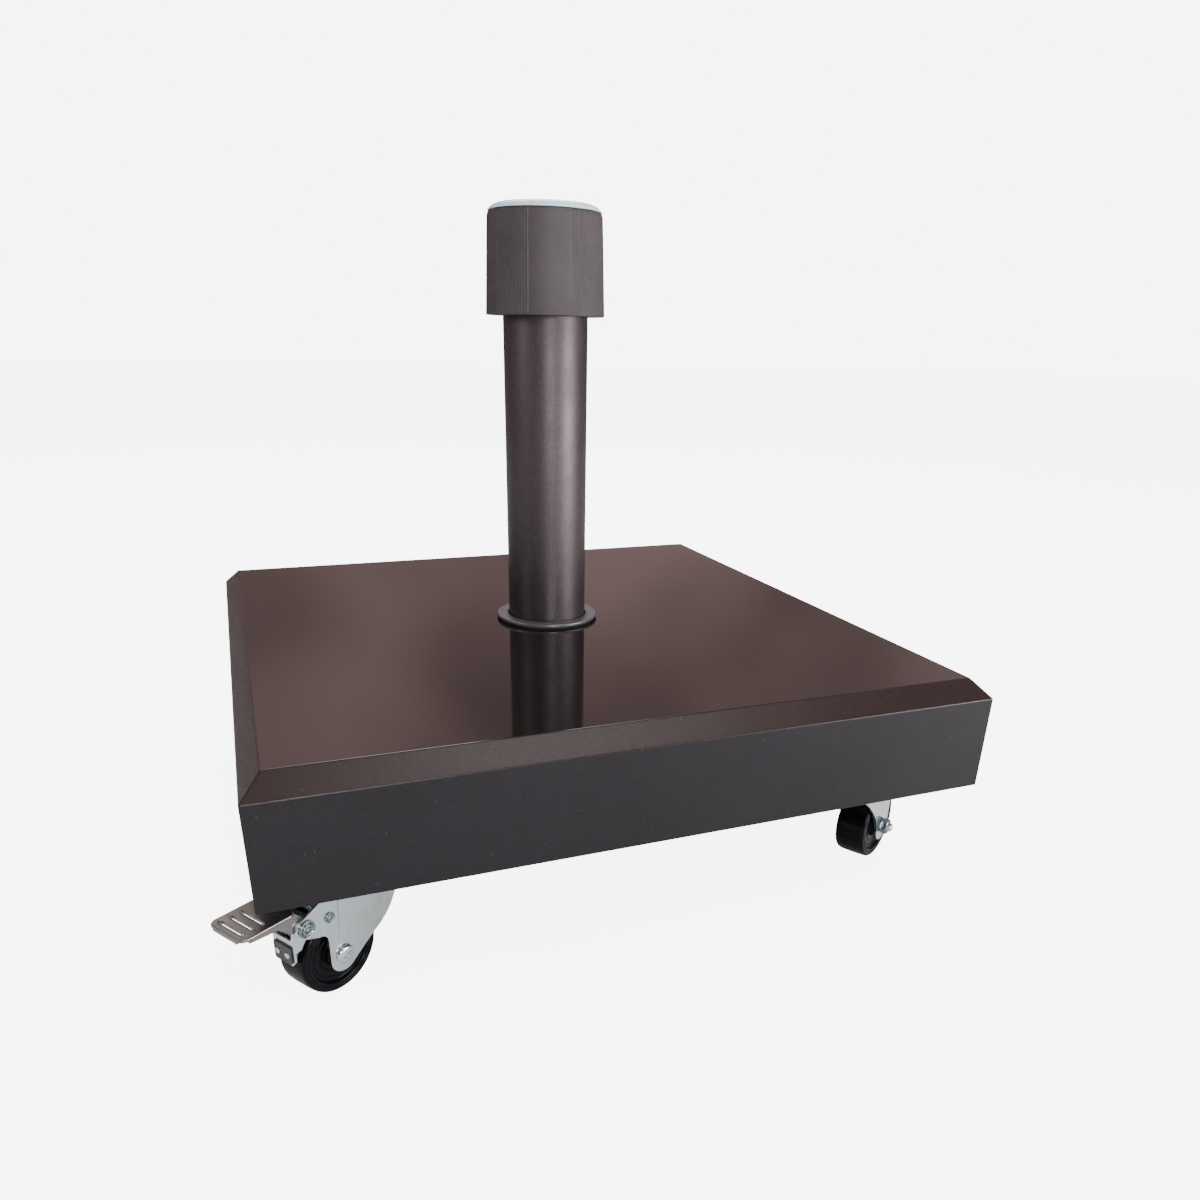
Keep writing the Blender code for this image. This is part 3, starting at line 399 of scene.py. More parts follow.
POLISHED = granite("granite_polished", (0.012, 0.009, 0.009), 0.30, 0.04, 0.075, 0.004)
GROUND = granite("granite_ground", (0.022, 0.010, 0.010), 0.18, 0.30, 0.40, 0.02,
                 Specular_IOR_Level=0.32)
HONED = granite("granite_honed", (0.0135, 0.0120, 0.0150), 0.16, 0.34, 0.46, 0.06,
                Specular_IOR_Level=0.24)
SAWN = granite("granite_sawn", (0.060, 0.056, 0.058), 0.30, 0.70, 0.85, 0.50)
print("granite finishes:", [stone.name for stone in (POLISHED, GROUND, HONED, SAWN)])


# %% [markdown]
# The stem has a bronze powder coat with metal flakes: satin, with a very fine orange-peel skin. The
# ring at its foot is turned metal under grey paint, so its fine marks run round it. Zinc plating is
# bright but cloudy. The pedals' zinc is rougher and scuffed by shoes. Its much darker tone is painted
# shade that stands in for the shadow the slab casts on the pedals.

# %% Metals
def powder_coat():
    coat = Finish("bronze_coat", 0.36, 0.85)
    flake = coat.noise(2600.0, 1.0)
    base = coat.ramp(flake, (0.30, (0.062, 0.050, 0.053)), (0.55, (0.084, 0.069, 0.073)),
                     (0.75, (0.140, 0.122, 0.124)))
    haze = coat.ramp(coat.noise(18.0, 3.0), (0.3, 0.90), (0.7, 1.0))
    coat.colour(coat.mix(1.0, base, haze, "MULTIPLY"))
    coat.rough(coat.noise(60.0, 4.0), 0.42, 0.50)
    coat.bump(coat.noise(1500.0, 2.0), 0.05, 0.0003)
    return coat.material


def turned_grey():
    paint = Finish("turned_grey", 0.34, 0.35)
    mark = paint.rings(2600.0)
    paint.colour(paint.ramp(mark, (0.3, (0.085, 0.083, 0.092)), (0.7, (0.115, 0.114, 0.124))))
    paint.rough(mark, 0.26, 0.42)
    paint.bump(mark, 0.10, 0.0002)
    return paint.material


def zinc(name, tone, low, high, scuffs):
    plate = Finish(name, low, 1.0)
    cloud = plate.noise(55.0, 5.0, roughness=0.65)
    warm = tuple(c * k for c, k in zip(tone, (0.90, 0.88, 0.83)))
    cool = tuple(c * k for c, k in zip(tone, (0.84, 0.93, 1.00)))
    base = plate.ramp(cloud, (0.30, warm), (0.50, tone), (0.72, cool))
    grain = plate.noise(420.0, 3.0, plate.stretched(1.0, 1.0, 0.08))
    shade = plate.ramp(grain, (0.25, 0.88), (0.75, 1.0))
    plate.colour(plate.mix(1.0, base, shade, "MULTIPLY"))
    plate.rough(plate.math("ADD", plate.math("MULTIPLY", cloud, 0.6),
                           plate.math("MULTIPLY", plate.noise(300.0, 3.0), 0.4)), low, high)
    plate.bump(grain, 0.04, 0.0002)
    plate.bump(plate.noise(90.0, 6.0, roughness=0.7), scuffs, 0.0003)
    return plate.material


BRONZE, RING_GREY = powder_coat(), turned_grey()
ZINC = zinc("zinc_bright", (0.80, 0.86, 0.89), 0.14, 0.28, 0.10)
# The pedals' dark tone is painted shade for the slab's shadow. Their roughness and scuffs are wear.
PEDAL_ZINC_PAINTED_SHADE = zinc("zinc_worn_painted_shade", (0.25, 0.245, 0.235), 0.30, 0.46, 0.25)
NUT_ZINC = zinc("zinc_nut", (0.27, 0.32, 0.32), 0.20, 0.34, 0.15)
DARK_PLATE = zinc("plate_dark", (0.115, 0.108, 0.112), 0.26, 0.40, 0.15)
print("metal finishes:", [m.name for m in (BRONZE, RING_GREY, ZINC, PEDAL_ZINC_PAINTED_SHADE, NUT_ZINC)])


# %% [markdown]
# The moulded parts are nylon and rubber. A mould is spark eroded to leave a fine matt grain on the
# knob, and polished for the pale ring. The wheels come off the mould glossy, with dust and scratches
# on the tread. The bush in each wheel is bronze, turned, so it has rings of its own.

# %% Plastics, rubber and bush
def moulded(name, tone, low, high, grain, depth, **sockets):
    skin = Finish(name, low, 0.0, **sockets)
    drift = skin.noise(35.0, 4.0)
    dark = tuple(c * 0.88 for c in tone)
    light = tuple(min(c * 1.10, 1.0) for c in tone)
    skin.colour(skin.ramp(drift, (0.3, dark), (0.5, tone), (0.7, light)))
    skin.rough(skin.noise(grain / 4, 3.0), low, high)
    skin.bump(skin.noise(grain, 2.0), depth, 0.0002)
    return skin.material


def bush_bronze():
    metal = Finish("bush_bronze", 0.32, 1.0)
    mark = metal.noise(700.0, 3.0)
    metal.colour(metal.ramp(mark, (0.3, (0.30, 0.17, 0.08)), (0.7, (0.52, 0.34, 0.19))))
    metal.rough(metal.noise(300.0, 4.0), 0.26, 0.44)
    metal.bump(mark, 0.08, 0.0002)
    return metal.material


KNOB_GREY = moulded("knob_nylon", (0.054, 0.043, 0.048), 0.50, 0.62, 2600.0, 0.16,
                    Specular_IOR_Level=0.36)
PALE_RING = moulded("pale_ring", (0.66, 0.84, 0.95), 0.22, 0.32, 1800.0, 0.05)
WHEEL_BLACK = moulded("wheel_nylon", (0.0035, 0.0030, 0.0045), 0.12, 0.22, 500.0, 0.03,
                      Specular_IOR_Level=0.12)
INNER_NYLON = moulded("inner_nylon", (0.050, 0.050, 0.053), 0.42, 0.56, 1500.0, 0.15)
RUBBER = moulded("gasket_rubber", (0.020, 0.019, 0.019), 0.70, 0.85, 1200.0, 0.25)
BUSH = bush_bronze()
print("moulded finishes:", [m.name for m in (KNOB_GREY, PALE_RING, WHEEL_BLACK, INNER_NYLON, RUBBER)])

# %% [markdown]
# ## Slab
#
# The slab is a saw-cut block with a wide chamfer ground round its top. The block starts as a cube,
# one Bevel step makes the chamfer, and a second, tiny one eases every edge. The stem's hole goes
# right through. Its faces then take one of four finishes by the way that they face.

# %% Make the slab
stem_low, stem_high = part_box("stem_tube")
STEM_RADIUS = stem_high.x
SLAB_CHAMFER = 0.0155
SLAB_HOLE = STEM_RADIUS + 0.0015


def slab_mesh():
    shape = bmesh.new()
    shape.from_mesh(block("slab", slab_low, slab_high))
    rim = [edge for edge in shape.edges if all(v.co.z > slab_high.z - 0.001 for v in edge.verts)]
    bmesh.ops.bevel(shape, geom=rim, offset=SLAB_CHAMFER, segments=1, affect="EDGES")
    mesh = rounded(mesh_from(shape, "slab"), 0.0009, segments=3, angle=20.0)
    bore = turned("bore", [(0.010, slab_low.z - 0.01), (SLAB_HOLE, slab_low.z - 0.01),
                           (SLAB_HOLE, slab_high.z + 0.01), (0.010, slab_high.z + 0.01)], 96)
    core = turned("core", [(0.0, slab_low.z - 0.02), (0.020, slab_low.z - 0.02),
                           (0.020, slab_high.z + 0.02), (0.0, slab_high.z + 0.02)], 32)
    return cut(mesh, bore, core)


slab = piece("slab", slab_mesh(), [POLISHED, GROUND, HONED, SAWN], "base", ["granite_slab"],
             flat=True)
for face in slab.data.polygons:
    up = face.normal.z
    face.material_index = 0 if up > 0.9 else 1 if up > 0.3 else 3 if up < -0.8 else 2
print("slab:", tuple(round(v, 3) for v in slab.dimensions), "faces:", len(slab.data.polygons))

# %% [markdown]
# ## Stem, foot ring and gasket
#
# The stem is a drawn tube, and the ring at its foot hides the hole in the stone. Both are turned
# from profiles. The ring floats on a thin gasket that stands back from its edge, which leaves the
# dark line under it.

# %% Turn the stem, the ring and the gasket
STEM_BORE = STEM_RADIUS - 0.002
ring_low, ring_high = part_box("cover_ring")
gasket_low, gasket_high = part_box("ring_gasket")
RING_BORE = STEM_RADIUS + 0.001

stem_profile = [(STEM_BORE, stem_low.z), (STEM_RADIUS, stem_low.z),
                (STEM_RADIUS, stem_high.z), (STEM_BORE, stem_high.z)]
ring_profile = [(RING_BORE, ring_low.z), (ring_high.x, ring_low.z),
                (ring_high.x, ring_high.z), (RING_BORE, ring_high.z)]
gasket_profile = [(RING_BORE, gasket_low.z), (gasket_high.x, gasket_low.z),
                  (gasket_high.x, gasket_high.z), (RING_BORE, gasket_high.z)]
piece("stem", turned("stem", eased(stem_profile, 0.0006)), BRONZE, "base", ["stem_tube"])
piece("foot_ring", turned("foot_ring", eased(ring_profile, [0.0003, 0.0004, 0.0012, 0.0006])),
      RING_GREY, "base", ["cover_ring"])
piece("foot_gasket", turned("foot_gasket", eased(gasket_profile, 0.0003)), RUBBER, "base",
      ["ring_gasket"])
print("stem:", round(STEM_RADIUS * 2000, 1), "mm across, foot ring:", round(ring_high.x * 2000, 1))

# %% [markdown]
# ## Knob
#
# The knob is one moulding: a tapered drum with fine ribs for grip between three smooth panels. A
# rib could be an Array of bars, but the mould is one surface, so the drum is turned with many sides
# and the points of its skin are then pressed in by a wave that stops at the panels. The ribs fade
# out at the shoulder and at the foot.

# %% Turn the knob and press in its ribs
knob_low, knob_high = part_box("clamp_knob")
cap_low, cap_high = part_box("knob_cap")
KNOB_FOOT = 0.0521
KNOB_SHOULDER = 0.0493
KNOB_SIDES = 1080
KNOB_MOUTH = 0.0300
PANELS, PANEL_HALF, PANEL_AT = 3, 21.5, -102.0
RIBS = 26
RIB_DEPTH = 0.0004


def knob_mesh():
    foot, top = knob_low.z, knob_high.z
    taper = (KNOB_SHOULDER - KNOB_FOOT) / (top - foot)
    skin = [(KNOB_FOOT + taper * (z - foot), z) for z in (foot, foot + 0.0022)]
    skin += [(KNOB_FOOT + taper * (z - foot), z) for z in (foot + 0.02, foot + 0.04, foot + 0.06)]
    skin += [(KNOB_SHOULDER, top - 0.0026), (KNOB_SHOULDER - 0.0010, top - 0.0004)]
    inside = [(KNOB_SHOULDER - 0.0028, top), (KNOB_MOUTH, top), (KNOB_MOUTH, top - 0.003),
              (0.0455, top - 0.003), (0.0455, top - 0.0328), (0.0434, top - 0.0328),
              (0.0434, foot + 0.003), (STEM_RADIUS + 0.0008, foot + 0.003),
              (STEM_RADIUS + 0.0008, foot)]
    profile = eased(skin + inside, [0.0010, 0, 0, 0, 0, 0.0008, 0.0006] + [0] * len(inside), 3)
    return turned("knob", profile, KNOB_SIDES)


def pressed_in(angle):
    """How far the skin goes in at an angle in degrees, from 0 on a rib to 1 in a groove."""
    sector = 360.0 / PANELS
    off = abs((angle - PANEL_AT + sector / 2) % sector - sector / 2)
    if off <= PANEL_HALF:
        return 1.0
    wave = (off - PANEL_HALF) / (sector / 2 - PANEL_HALF) * RIBS / 2
    return (0.5 + 0.5 * math.cos(math.tau * wave)) ** 1.5


knob = knob_mesh()
for vertex in knob.vertices:
    across = math.hypot(vertex.co.x, vertex.co.y)
    if across > KNOB_SHOULDER - 0.0012:
        fade = min(1.0, (vertex.co.z - knob_low.z) / 0.002, (knob_high.z - vertex.co.z) / 0.002)
        depth = RIB_DEPTH * pressed_in(math.degrees(math.atan2(vertex.co.y, vertex.co.x)))
        scale = 1.0 - depth * max(fade, 0.0) / across
        vertex.co.x *= scale
        vertex.co.y *= scale
piece("knob", knob, KNOB_GREY, "knob", ["clamp_knob"], crease=50.0)
print("knob:", len(knob.vertices), "points,", RIBS * PANELS, "ribs")

# %% [markdown]
# The pale ring snaps into the knob's mouth. Its outer edge slopes up to a flat rim, and a soft
# curve joins the two.

# %% Turn the pale ring
cap_edge = cap_high.x
cap_profile = [(KNOB_MOUTH, cap_low.z), (cap_edge, cap_low.z),
               (cap_edge - 0.0022, cap_low.z + 0.0032), (cap_edge - 0.0074, cap_high.z),
               (KNOB_MOUTH, cap_high.z)]
cap = turned("knob_ring", eased(cap_profile, [0.0004, 0.0004, 0.0024, 0.0026, 0.0016], 5), 160)
piece("knob_ring", cap, PALE_RING, "knob", ["knob_cap"], crease=40.0)
print("pale ring:", round(cap_edge * 2000, 1), "mm across")

# %% [markdown]
# Inside the clamp are the collar, the slotted collet, the tapered ring that squeezes it and the
# seat for the pole. They show only through the mouth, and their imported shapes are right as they
# are, so they stay and only get their finish.

# %% Finish the inner pieces
for name in ("thread_collar", "grip_collet", "pressure_ring", "pole_seat"):
    slots = frame["nodes"][name].data.materials
    slots.clear()
    slots.append(INNER_NYLON)
print("inner pieces finished")

# %% [markdown]
# ## Casters
#
# The four casters are alike apart from the brakes, so every caster piece is made once, in a frame
# of its own: the swivel axis is the origin, X runs back to the axle and Z is up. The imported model's
# joints then say where each caster stands and which way it trails. Copies placed by a matrix keep
# every caster free to swivel and roll.

# %% Read the casters from the joints
CORNERS = ("front_left", "front_right", "back_right", "back_left")
BRAKED = [corner for corner in CORNERS if f"pedal_press_{corner}" in joints]


def caster_place(corner):
    """The matrix from the caster's own frame to the object's."""
    swivel = joints[f"swivel_{corner}"]["pos_m"]
    across = joints[f"roll_{corner}"]["axis"]
    trail = math.atan2(-across[0], across[1])
    return Matrix.Translation((swivel[0], swivel[1], 0.0)) @ Matrix.Rotation(trail, 4, "Z")


corner = BRAKED[0]
swivel, axle = joints[f"swivel_{corner}"]["pos_m"], joints[f"roll_{corner}"]["pos_m"]
hinge = joints[f"pedal_press_{corner}"]["pos_m"]
TRAIL, WHEEL_RADIUS = math.dist(swivel[:2], axle[:2]), axle[2]
PIN_X, PIN_Z = math.dist(swivel[:2], hinge[:2]), hinge[2]
STAND_UP = Matrix.Rotation(math.pi / 2, 4, "X")
LAY_ACROSS = STAND_UP.inverted()
print("trail", round(TRAIL * 1000, 1), "wheel radius", round(WHEEL_RADIUS * 1000, 1), "brakes", BRAKED)

# %% [markdown]
# The wheel is a solid nylon disc. It is turned, with a slightly crowned tread, rounded shoulders, a
# step inside the rim and a few fine rings on its face. Nylon wheels are moulded, and those rings are
# the marks of the mould, so they go into the profile and not into the material.

# %% Turn the wheel and its bush
WHEEL_HALF = 0.01425
HUB_RADIUS, HUB_HALF = 0.0125, 0.01505
BUSH_RADIUS, AXLE_RADIUS = 0.0070, 0.0040
LEG_INNER, LEG_OUTER = 0.01595, 0.01845


def wheel_mesh():
    rim, web = WHEEL_HALF, WHEEL_HALF - 0.0030
    face = [(BUSH_RADIUS + 0.0004, HUB_HALF), (HUB_RADIUS - 0.0006, HUB_HALF), (HUB_RADIUS, HUB_HALF - 0.0006),
            (HUB_RADIUS + 0.0006, web), (0.0165, web), (0.0168, web + 0.0006), (0.0178, web + 0.0006),
            (0.0181, web), (0.0212, web), (0.0215, web + 0.0006), (0.0225, web + 0.0006),
            (0.0228, web), (0.0250, web), (0.0266, rim), (0.0284, rim), (0.0287, rim - 0.0005),
            (0.0293, rim - 0.0005), (0.0296, rim), (WHEEL_RADIUS - 0.0004, rim)]
    bend = [0.0004] + [0.0005] * 2 + [0.0006] + [0.0003] * 8 + [0.0009] * 2 + [0.0003] * 4 + [0.0034]
    tread = [(WHEEL_RADIUS, 0.006)]
    profile = face + tread
    profile += [(radius, -height) for radius, height in reversed(profile)]
    bends = bend + [0.002]
    bends += bends[::-1]
    disc = turned("wheel", eased(profile, bends, 4), 144)
    return moved(disc, Matrix.Translation((TRAIL, 0, WHEEL_RADIUS)) @ STAND_UP)


def across_caster(name, profile, x, z, sides=48):
    """A turned piece laid across the caster. Its profile runs along the width from -Y to +Y."""
    return moved(turned(name, profile, sides), Matrix.Translation((x, 0, z)) @ LAY_ACROSS)


bush_end = LEG_INNER - 0.0003
bush_profile = eased([(AXLE_RADIUS + 0.0003, -bush_end), (BUSH_RADIUS, -bush_end),
                      (BUSH_RADIUS, bush_end), (AXLE_RADIUS + 0.0003, bush_end)], 0.0004)
wheel, bush = wheel_mesh(), across_caster("bush", bush_profile, TRAIL, WHEEL_RADIUS, 64)
print("wheel:", len(wheel.polygons), "faces, bush:", len(bush.polygons))

# %% [markdown]
# The fork is pressed from one sheet: a round crown with two legs folded down. Each leg is drawn as
# a side view, thickened and stood up, and the crown joins them. The folds get a wide bevel, the
# other edges a narrow one. A braked leg has an extra lobe behind for the brake's hinge pin, and the
# plain one has a hollow leading edge that follows the wheel.

# %% Press the forks
plate_low, plate_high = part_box("mount_plate_front_left")
fork_low, fork_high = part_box("fork_front_left")
CROWN_TOP = fork_high.z
CROWN_BOTTOM = CROWN_TOP - 0.003
CROWN_RADIUS = 0.024
TIP_RADIUS, TIP_DROP, LOBE_RADIUS, LEG_LEAD = 0.0123, 0.0025, 0.0085, 0.029
STOP_X, STOP_Z = TRAIL + 0.0095, WHEEL_RADIUS + 0.0370


def leg_outline(braked):
    low = (TRAIL, WHEEL_RADIUS - TIP_DROP)
    if braked:
        swell = ((-4.88, 3.60), (-4.07, 1.63), (-3.20, 0.70), (-2.03, 0.02))
    else:
        swell = ((-4.70, 3.80), (-3.30, 2.90), (-2.10, 1.80), (-1.35, 0.90))
    points = [(-LEG_LEAD, CROWN_TOP)]
    points += [(TRAIL + x * TIP_RADIUS, WHEEL_RADIUS + z * TIP_RADIUS) for x, z in swell]
    bends = [0.0005] + [0.012] * len(swell)
    tip = arc(low, TIP_RADIUS, 225 if braked else 180, 360, 20)
    points, bends = points + tip, bends + [0] * len(tip)
    if not braked:
        return eased(points + [(0.043, CROWN_BOTTOM), (0.043, CROWN_TOP)], bends + [0.001, 0], 6)
    corner = TIP_RADIUS * 0.6
    notch = PIN_Z - LOBE_RADIUS - corner * 0.6
    curve = arc((low[0] + TIP_RADIUS + corner, notch - corner), corner, 180, 90, 10)
    curve += arc((PIN_X, PIN_Z), LOBE_RADIUS, -80, 65, 18)
    points, bends = points + curve, bends + [0] * len(curve)
    return eased(points + [(0.033, CROWN_TOP)], bends + [0.004], 6)


def fork_mesh(braked):
    back = 0.033 if braked else 0.043
    meet = math.degrees(math.asin(LEG_OUTER / CROWN_RADIUS))
    crown = arc((0, 0), CROWN_RADIUS, meet, 360 - meet, 48) + [(back, -LEG_OUTER), (back, LEG_OUTER)]
    middle = Matrix.Translation((0, 0, (CROWN_TOP + CROWN_BOTTOM) / 2))
    made = moved(sheet("crown", crown, CROWN_TOP - CROWN_BOTTOM), middle)
    for side in (-1, 1):
        leg = sheet("leg", leg_outline(braked), LEG_OUTER - LEG_INNER)
        stand = Matrix.Translation((0, side * (LEG_INNER + LEG_OUTER) / 2, 0)) @ STAND_UP
        made = joined(made, moved(leg, stand))
    holes = [(TRAIL, WHEEL_RADIUS, AXLE_RADIUS + 0.0003)]
    if braked:
        holes += [(PIN_X, PIN_Z, 0.0038), (STOP_X, STOP_Z, 0.0028)]
    tools = [across_caster("drill", [(0, -0.03), (size, -0.03), (size, 0.03), (0, 0.03)], x, z, 32)
             for x, z, size in holes]
    made = cut(made, *tools)
    shape = bmesh.new()
    shape.from_mesh(made)
    fold = [edge for edge in shape.edges
            if all(v.co.z > CROWN_TOP - 1e-5 and abs(abs(v.co.y) - LEG_OUTER) < 1e-5 for v in edge.verts)]
    bmesh.ops.bevel(shape, geom=fold, offset=0.0026, segments=5, affect="EDGES", profile=0.5)
    return rounded(mesh_from(shape, "fork"), 0.00035)


forks = {braked: fork_mesh(braked) for braked in (True, False)}
print("forks:", {("braked" if key else "plain"): len(mesh.polygons) for key, mesh in forks.items()})

# %% [markdown]
# The axle is a bolt with a low domed head that has a cross recess, and a hexagon nut on the other
# side. A nut is a hexagon whose corners have been turned down, so it is made as the shared part of
# a hexagonal bar and a turned blank. The end of the bolt that shows gets a few rings for its thread.

# %% Make the axle bolt and the nut
AXLE_HEAD, NUT_HEIGHT, BOLT_END = 0.0036, 0.0065, 0.0030
FACE = LEG_OUTER + 0.0003
NUT_FLATS = 0.013


def cross_recess(reach, width, low, high):
    """A cutter in the shape of a plus sign, centred on Z."""
    bar = block("bar", (-reach, -width / 2, low), (reach, width / 2, high))
    other = block("bar", (-width / 2, -reach, low), (width / 2, reach, high))
    return joined(bar, other)


def bolt_mesh():
    end = FACE + 0.0003 + NUT_HEIGHT + BOLT_END
    head = FACE + AXLE_HEAD
    shank = [(0.0, -end), (AXLE_RADIUS - 0.0010, -end), (AXLE_RADIUS, -end + 0.0008)]
    z = -end + 0.0012
    while z < -FACE - NUT_HEIGHT - 0.0006:
        shank += [(AXLE_RADIUS, z), (AXLE_RADIUS - 0.00035, z + 0.00025), (AXLE_RADIUS, z + 0.0005)]
        z += 0.0006
    shank += [(AXLE_RADIUS, FACE)]
    dome = [(0.0075, FACE), (0.0075, FACE + 0.0012), (0.0062, head - 0.0006), (0.0035, head), (0.0, head)]
    profile = shank + eased(dome, [0.0002, 0.0006, 0.0018, 0.0018, 0], 4, closed=False)
    blank = turned("bolt", profile, 48)
    recess = cross_recess(0.0038, 0.0016, head - 0.0022, head + 0.001)
    recess.transform(Matrix.Rotation(math.radians(20), 4, "Z"))
    made = rounded(cut(blank, recess), 0.00012, 1)
    return moved(made, Matrix.Translation((TRAIL, 0, WHEEL_RADIUS)) @ LAY_ACROSS)


def hexagon_nut(flats, height, bore):
    """A nut with turned-down corners, standing on Z zero."""
    corner = flats / math.sqrt(3)
    bar = sheet("bar", arc((0, 0), corner, 0, 300, 5), height)
    half, blank = height / 2, corner * 1.004
    turned_blank = turned("blank", [(bore, -half), (flats * 0.48, -half), (blank, -half + 0.0009),
                                    (blank, half - 0.0009), (flats * 0.48, half), (bore, half)], 96)
    made = combined(bar, [turned_blank], "INTERSECT")
    return moved(rounded(made, 0.00015, 1), Matrix.Translation((0, 0, half)))


bolt = bolt_mesh()
nut = hexagon_nut(NUT_FLATS, NUT_HEIGHT, AXLE_RADIUS + 0.0002)
nut_place = Matrix.Translation((TRAIL, -FACE - NUT_HEIGHT, WHEEL_RADIUS)) @ LAY_ACROSS
nut = moved(nut, nut_place)
print("bolt:", len(bolt.polygons), "faces, nut:", len(nut.polygons))

# %% [markdown]
# Two rivets cross a braked fork: the hinge pin of the brake behind, and a smaller one that stops
# the brake. Their heads are upset in a press, which leaves a ring round a dimple.

# %% Upset the rivets
def rivet_mesh(name, radius, head_radius, head, x, z):
    top, rim = FACE + head, head_radius
    side = [(radius, FACE), (rim, FACE), (rim, FACE + head * 0.60), (rim * 0.88, FACE + head * 0.70),
            (rim * 0.72, FACE + head * 0.20), (rim * 0.60, top), (rim * 0.40, top),
            (rim * 0.26, FACE + head * 0.10), (0.0, FACE + head * 0.10)]
    bends = [0, 0.0001] + [head * 0.25] * 6 + [0]
    half = eased(side, bends, 4, closed=False)
    profile = [(r, -y) for r, y in reversed(half)] + half
    return across_caster(name, profile, x, z, 64)


hinge_pin = rivet_mesh("hinge_pin", 0.0035, 0.0068, 0.0022, PIN_X, PIN_Z)
stop_rivet = rivet_mesh("stop_rivet", 0.0025, 0.0042, 0.0016, STOP_X, STOP_Z)
print("rivets:", len(hinge_pin.polygons), len(stop_rivet.polygons))

# %% [markdown]
# The pedal is pressed sheet: a flat foot plate with its sides and tip turned down, three long slots
# whose rims are pushed up for grip, and two arms that reach inside the fork to the hinge pin. The
# slots are cut from an outline with round ends, and a slightly larger outline under each makes its
# raised rim.

# %% Press the pedal
SHEET = 0.0022
PEDAL_TOP = PIN_Z + 0.0180
PEDAL_START, PEDAL_END = PIN_X + 0.006, PIN_X + 0.0505
PEDAL_HALF, PEDAL_CORNER = 0.01925, 0.006
SLOTS, SLOT_PITCH, SLOT_HALF, SLOT_WIDTH = 3, 0.0080, 0.01275, 0.0024


def round_ended(half_length, width):
    """The outline of a slot that lies along Y."""
    reach, radius = half_length - width / 2, width / 2
    return arc((0, reach), radius, 0, 180, 10) + arc((0, -reach), radius, 180, 360, 10)


def pedal_mesh():
    low, reach = PEDAL_TOP - SHEET, PEDAL_HALF - PEDAL_CORNER
    outline = []
    middle_x, half_x = (PEDAL_START + PEDAL_END) / 2, (PEDAL_END - PEDAL_START) / 2
    for x, y, start in ((1, 1, 0), (-1, 1, 90), (-1, -1, 180), (1, -1, 270)):
        centre = (middle_x + x * (half_x - PEDAL_CORNER), y * reach)
        outline += arc(centre, PEDAL_CORNER, start, start + 90, 10)
    made = moved(sheet("plate", outline, SHEET), Matrix.Translation((0, 0, PEDAL_TOP - SHEET / 2)))
    made = joined(made, block("lip", (PEDAL_END - SHEET, -reach, PEDAL_TOP - 0.0042),
                              (PEDAL_END, reach, low + SHEET / 2)))
    flange = [(PIN_X + 0.016, low - 0.0045), (PEDAL_END - PEDAL_CORNER, PEDAL_TOP - 0.0042),
              (PEDAL_END - PEDAL_CORNER, low + SHEET / 2), (PIN_X + 0.016, low + SHEET / 2)]
    arm = arc((PIN_X, PIN_Z), LOBE_RADIUS * 0.8, 120, 330, 24)
    arm += [(middle_x, low), (middle_x, low + SHEET / 2), (PEDAL_START + SHEET, low + SHEET / 2)]
    arm_y = LEG_INNER - 0.0006 - SHEET / 2
    for side in (-1, 1):
        for shape, y in ((flange, PEDAL_HALF - SHEET / 2), (arm, arm_y)):
            stand = Matrix.Translation((0, side * y, 0)) @ STAND_UP
            made = joined(made, moved(sheet("side", shape, SHEET), stand))
    made = joined(made, block("tongue", (PIN_X - 0.0105, -arm_y, PIN_Z - SHEET),
                              (PIN_X - 0.0064, arm_y, PIN_Z + SHEET / 2)))
    cutters = []
    for index in range(SLOTS):
        spot = Matrix.Translation((PEDAL_END - SHEET - SLOT_PITCH * (index + 0.45), 0, PEDAL_TOP))
        rim = sheet("rim", round_ended(SLOT_HALF + 0.0007, SLOT_WIDTH + 0.0014), 0.0010)
        made = joined(made, moved(rim, spot))
        cutters.append(moved(sheet("slot", round_ended(SLOT_HALF, SLOT_WIDTH), 0.012), spot))
    drill = across_caster("drill", [(0, -0.03), (0.0038, -0.03), (0.0038, 0.03), (0, 0.03)], PIN_X, PIN_Z, 32)
    made = cut(made, *cutters, drill)
    shape = bmesh.new()
    shape.from_mesh(made)
    fold = [edge for edge in shape.edges if all(abs(v.co.z - PEDAL_TOP) < 1e-5 for v in edge.verts)
            and all(abs(v.co.y) > PEDAL_HALF - PEDAL_CORNER - 1e-4 or v.co.x > PEDAL_END - PEDAL_CORNER
                    for v in edge.verts) and edge.calc_face_angle(0) > 1.0]
    bmesh.ops.bevel(shape, geom=fold, offset=0.0012, segments=4, affect="EDGES", profile=0.5)
    return rounded(mesh_from(shape, "pedal"), 0.00025)


pedal = pedal_mesh()
print("pedal:", len(pedal.polygons), "faces")

# %% [markdown]
# The brake shoe is folded sheet behind the wheel: two cheeks that hang from the hinge pin, a band
# that faces the tread and a back. A dark plate with round lower corners is riveted to its back.

# %% Fold the shoe and make its plate
SHOE_SHEET, SHOE_HALF, SHOE_PLAY = 0.0018, 0.0117, 0.0013
SHOE_BACK = TRAIL + 0.0376
SHOE_LOW, SHOE_HIGH = WHEEL_RADIUS + 0.0020, WHEEL_RADIUS + 0.0280
SHOE_FOOT, PLATE_HALF = WHEEL_RADIUS + 0.0056, 0.0112


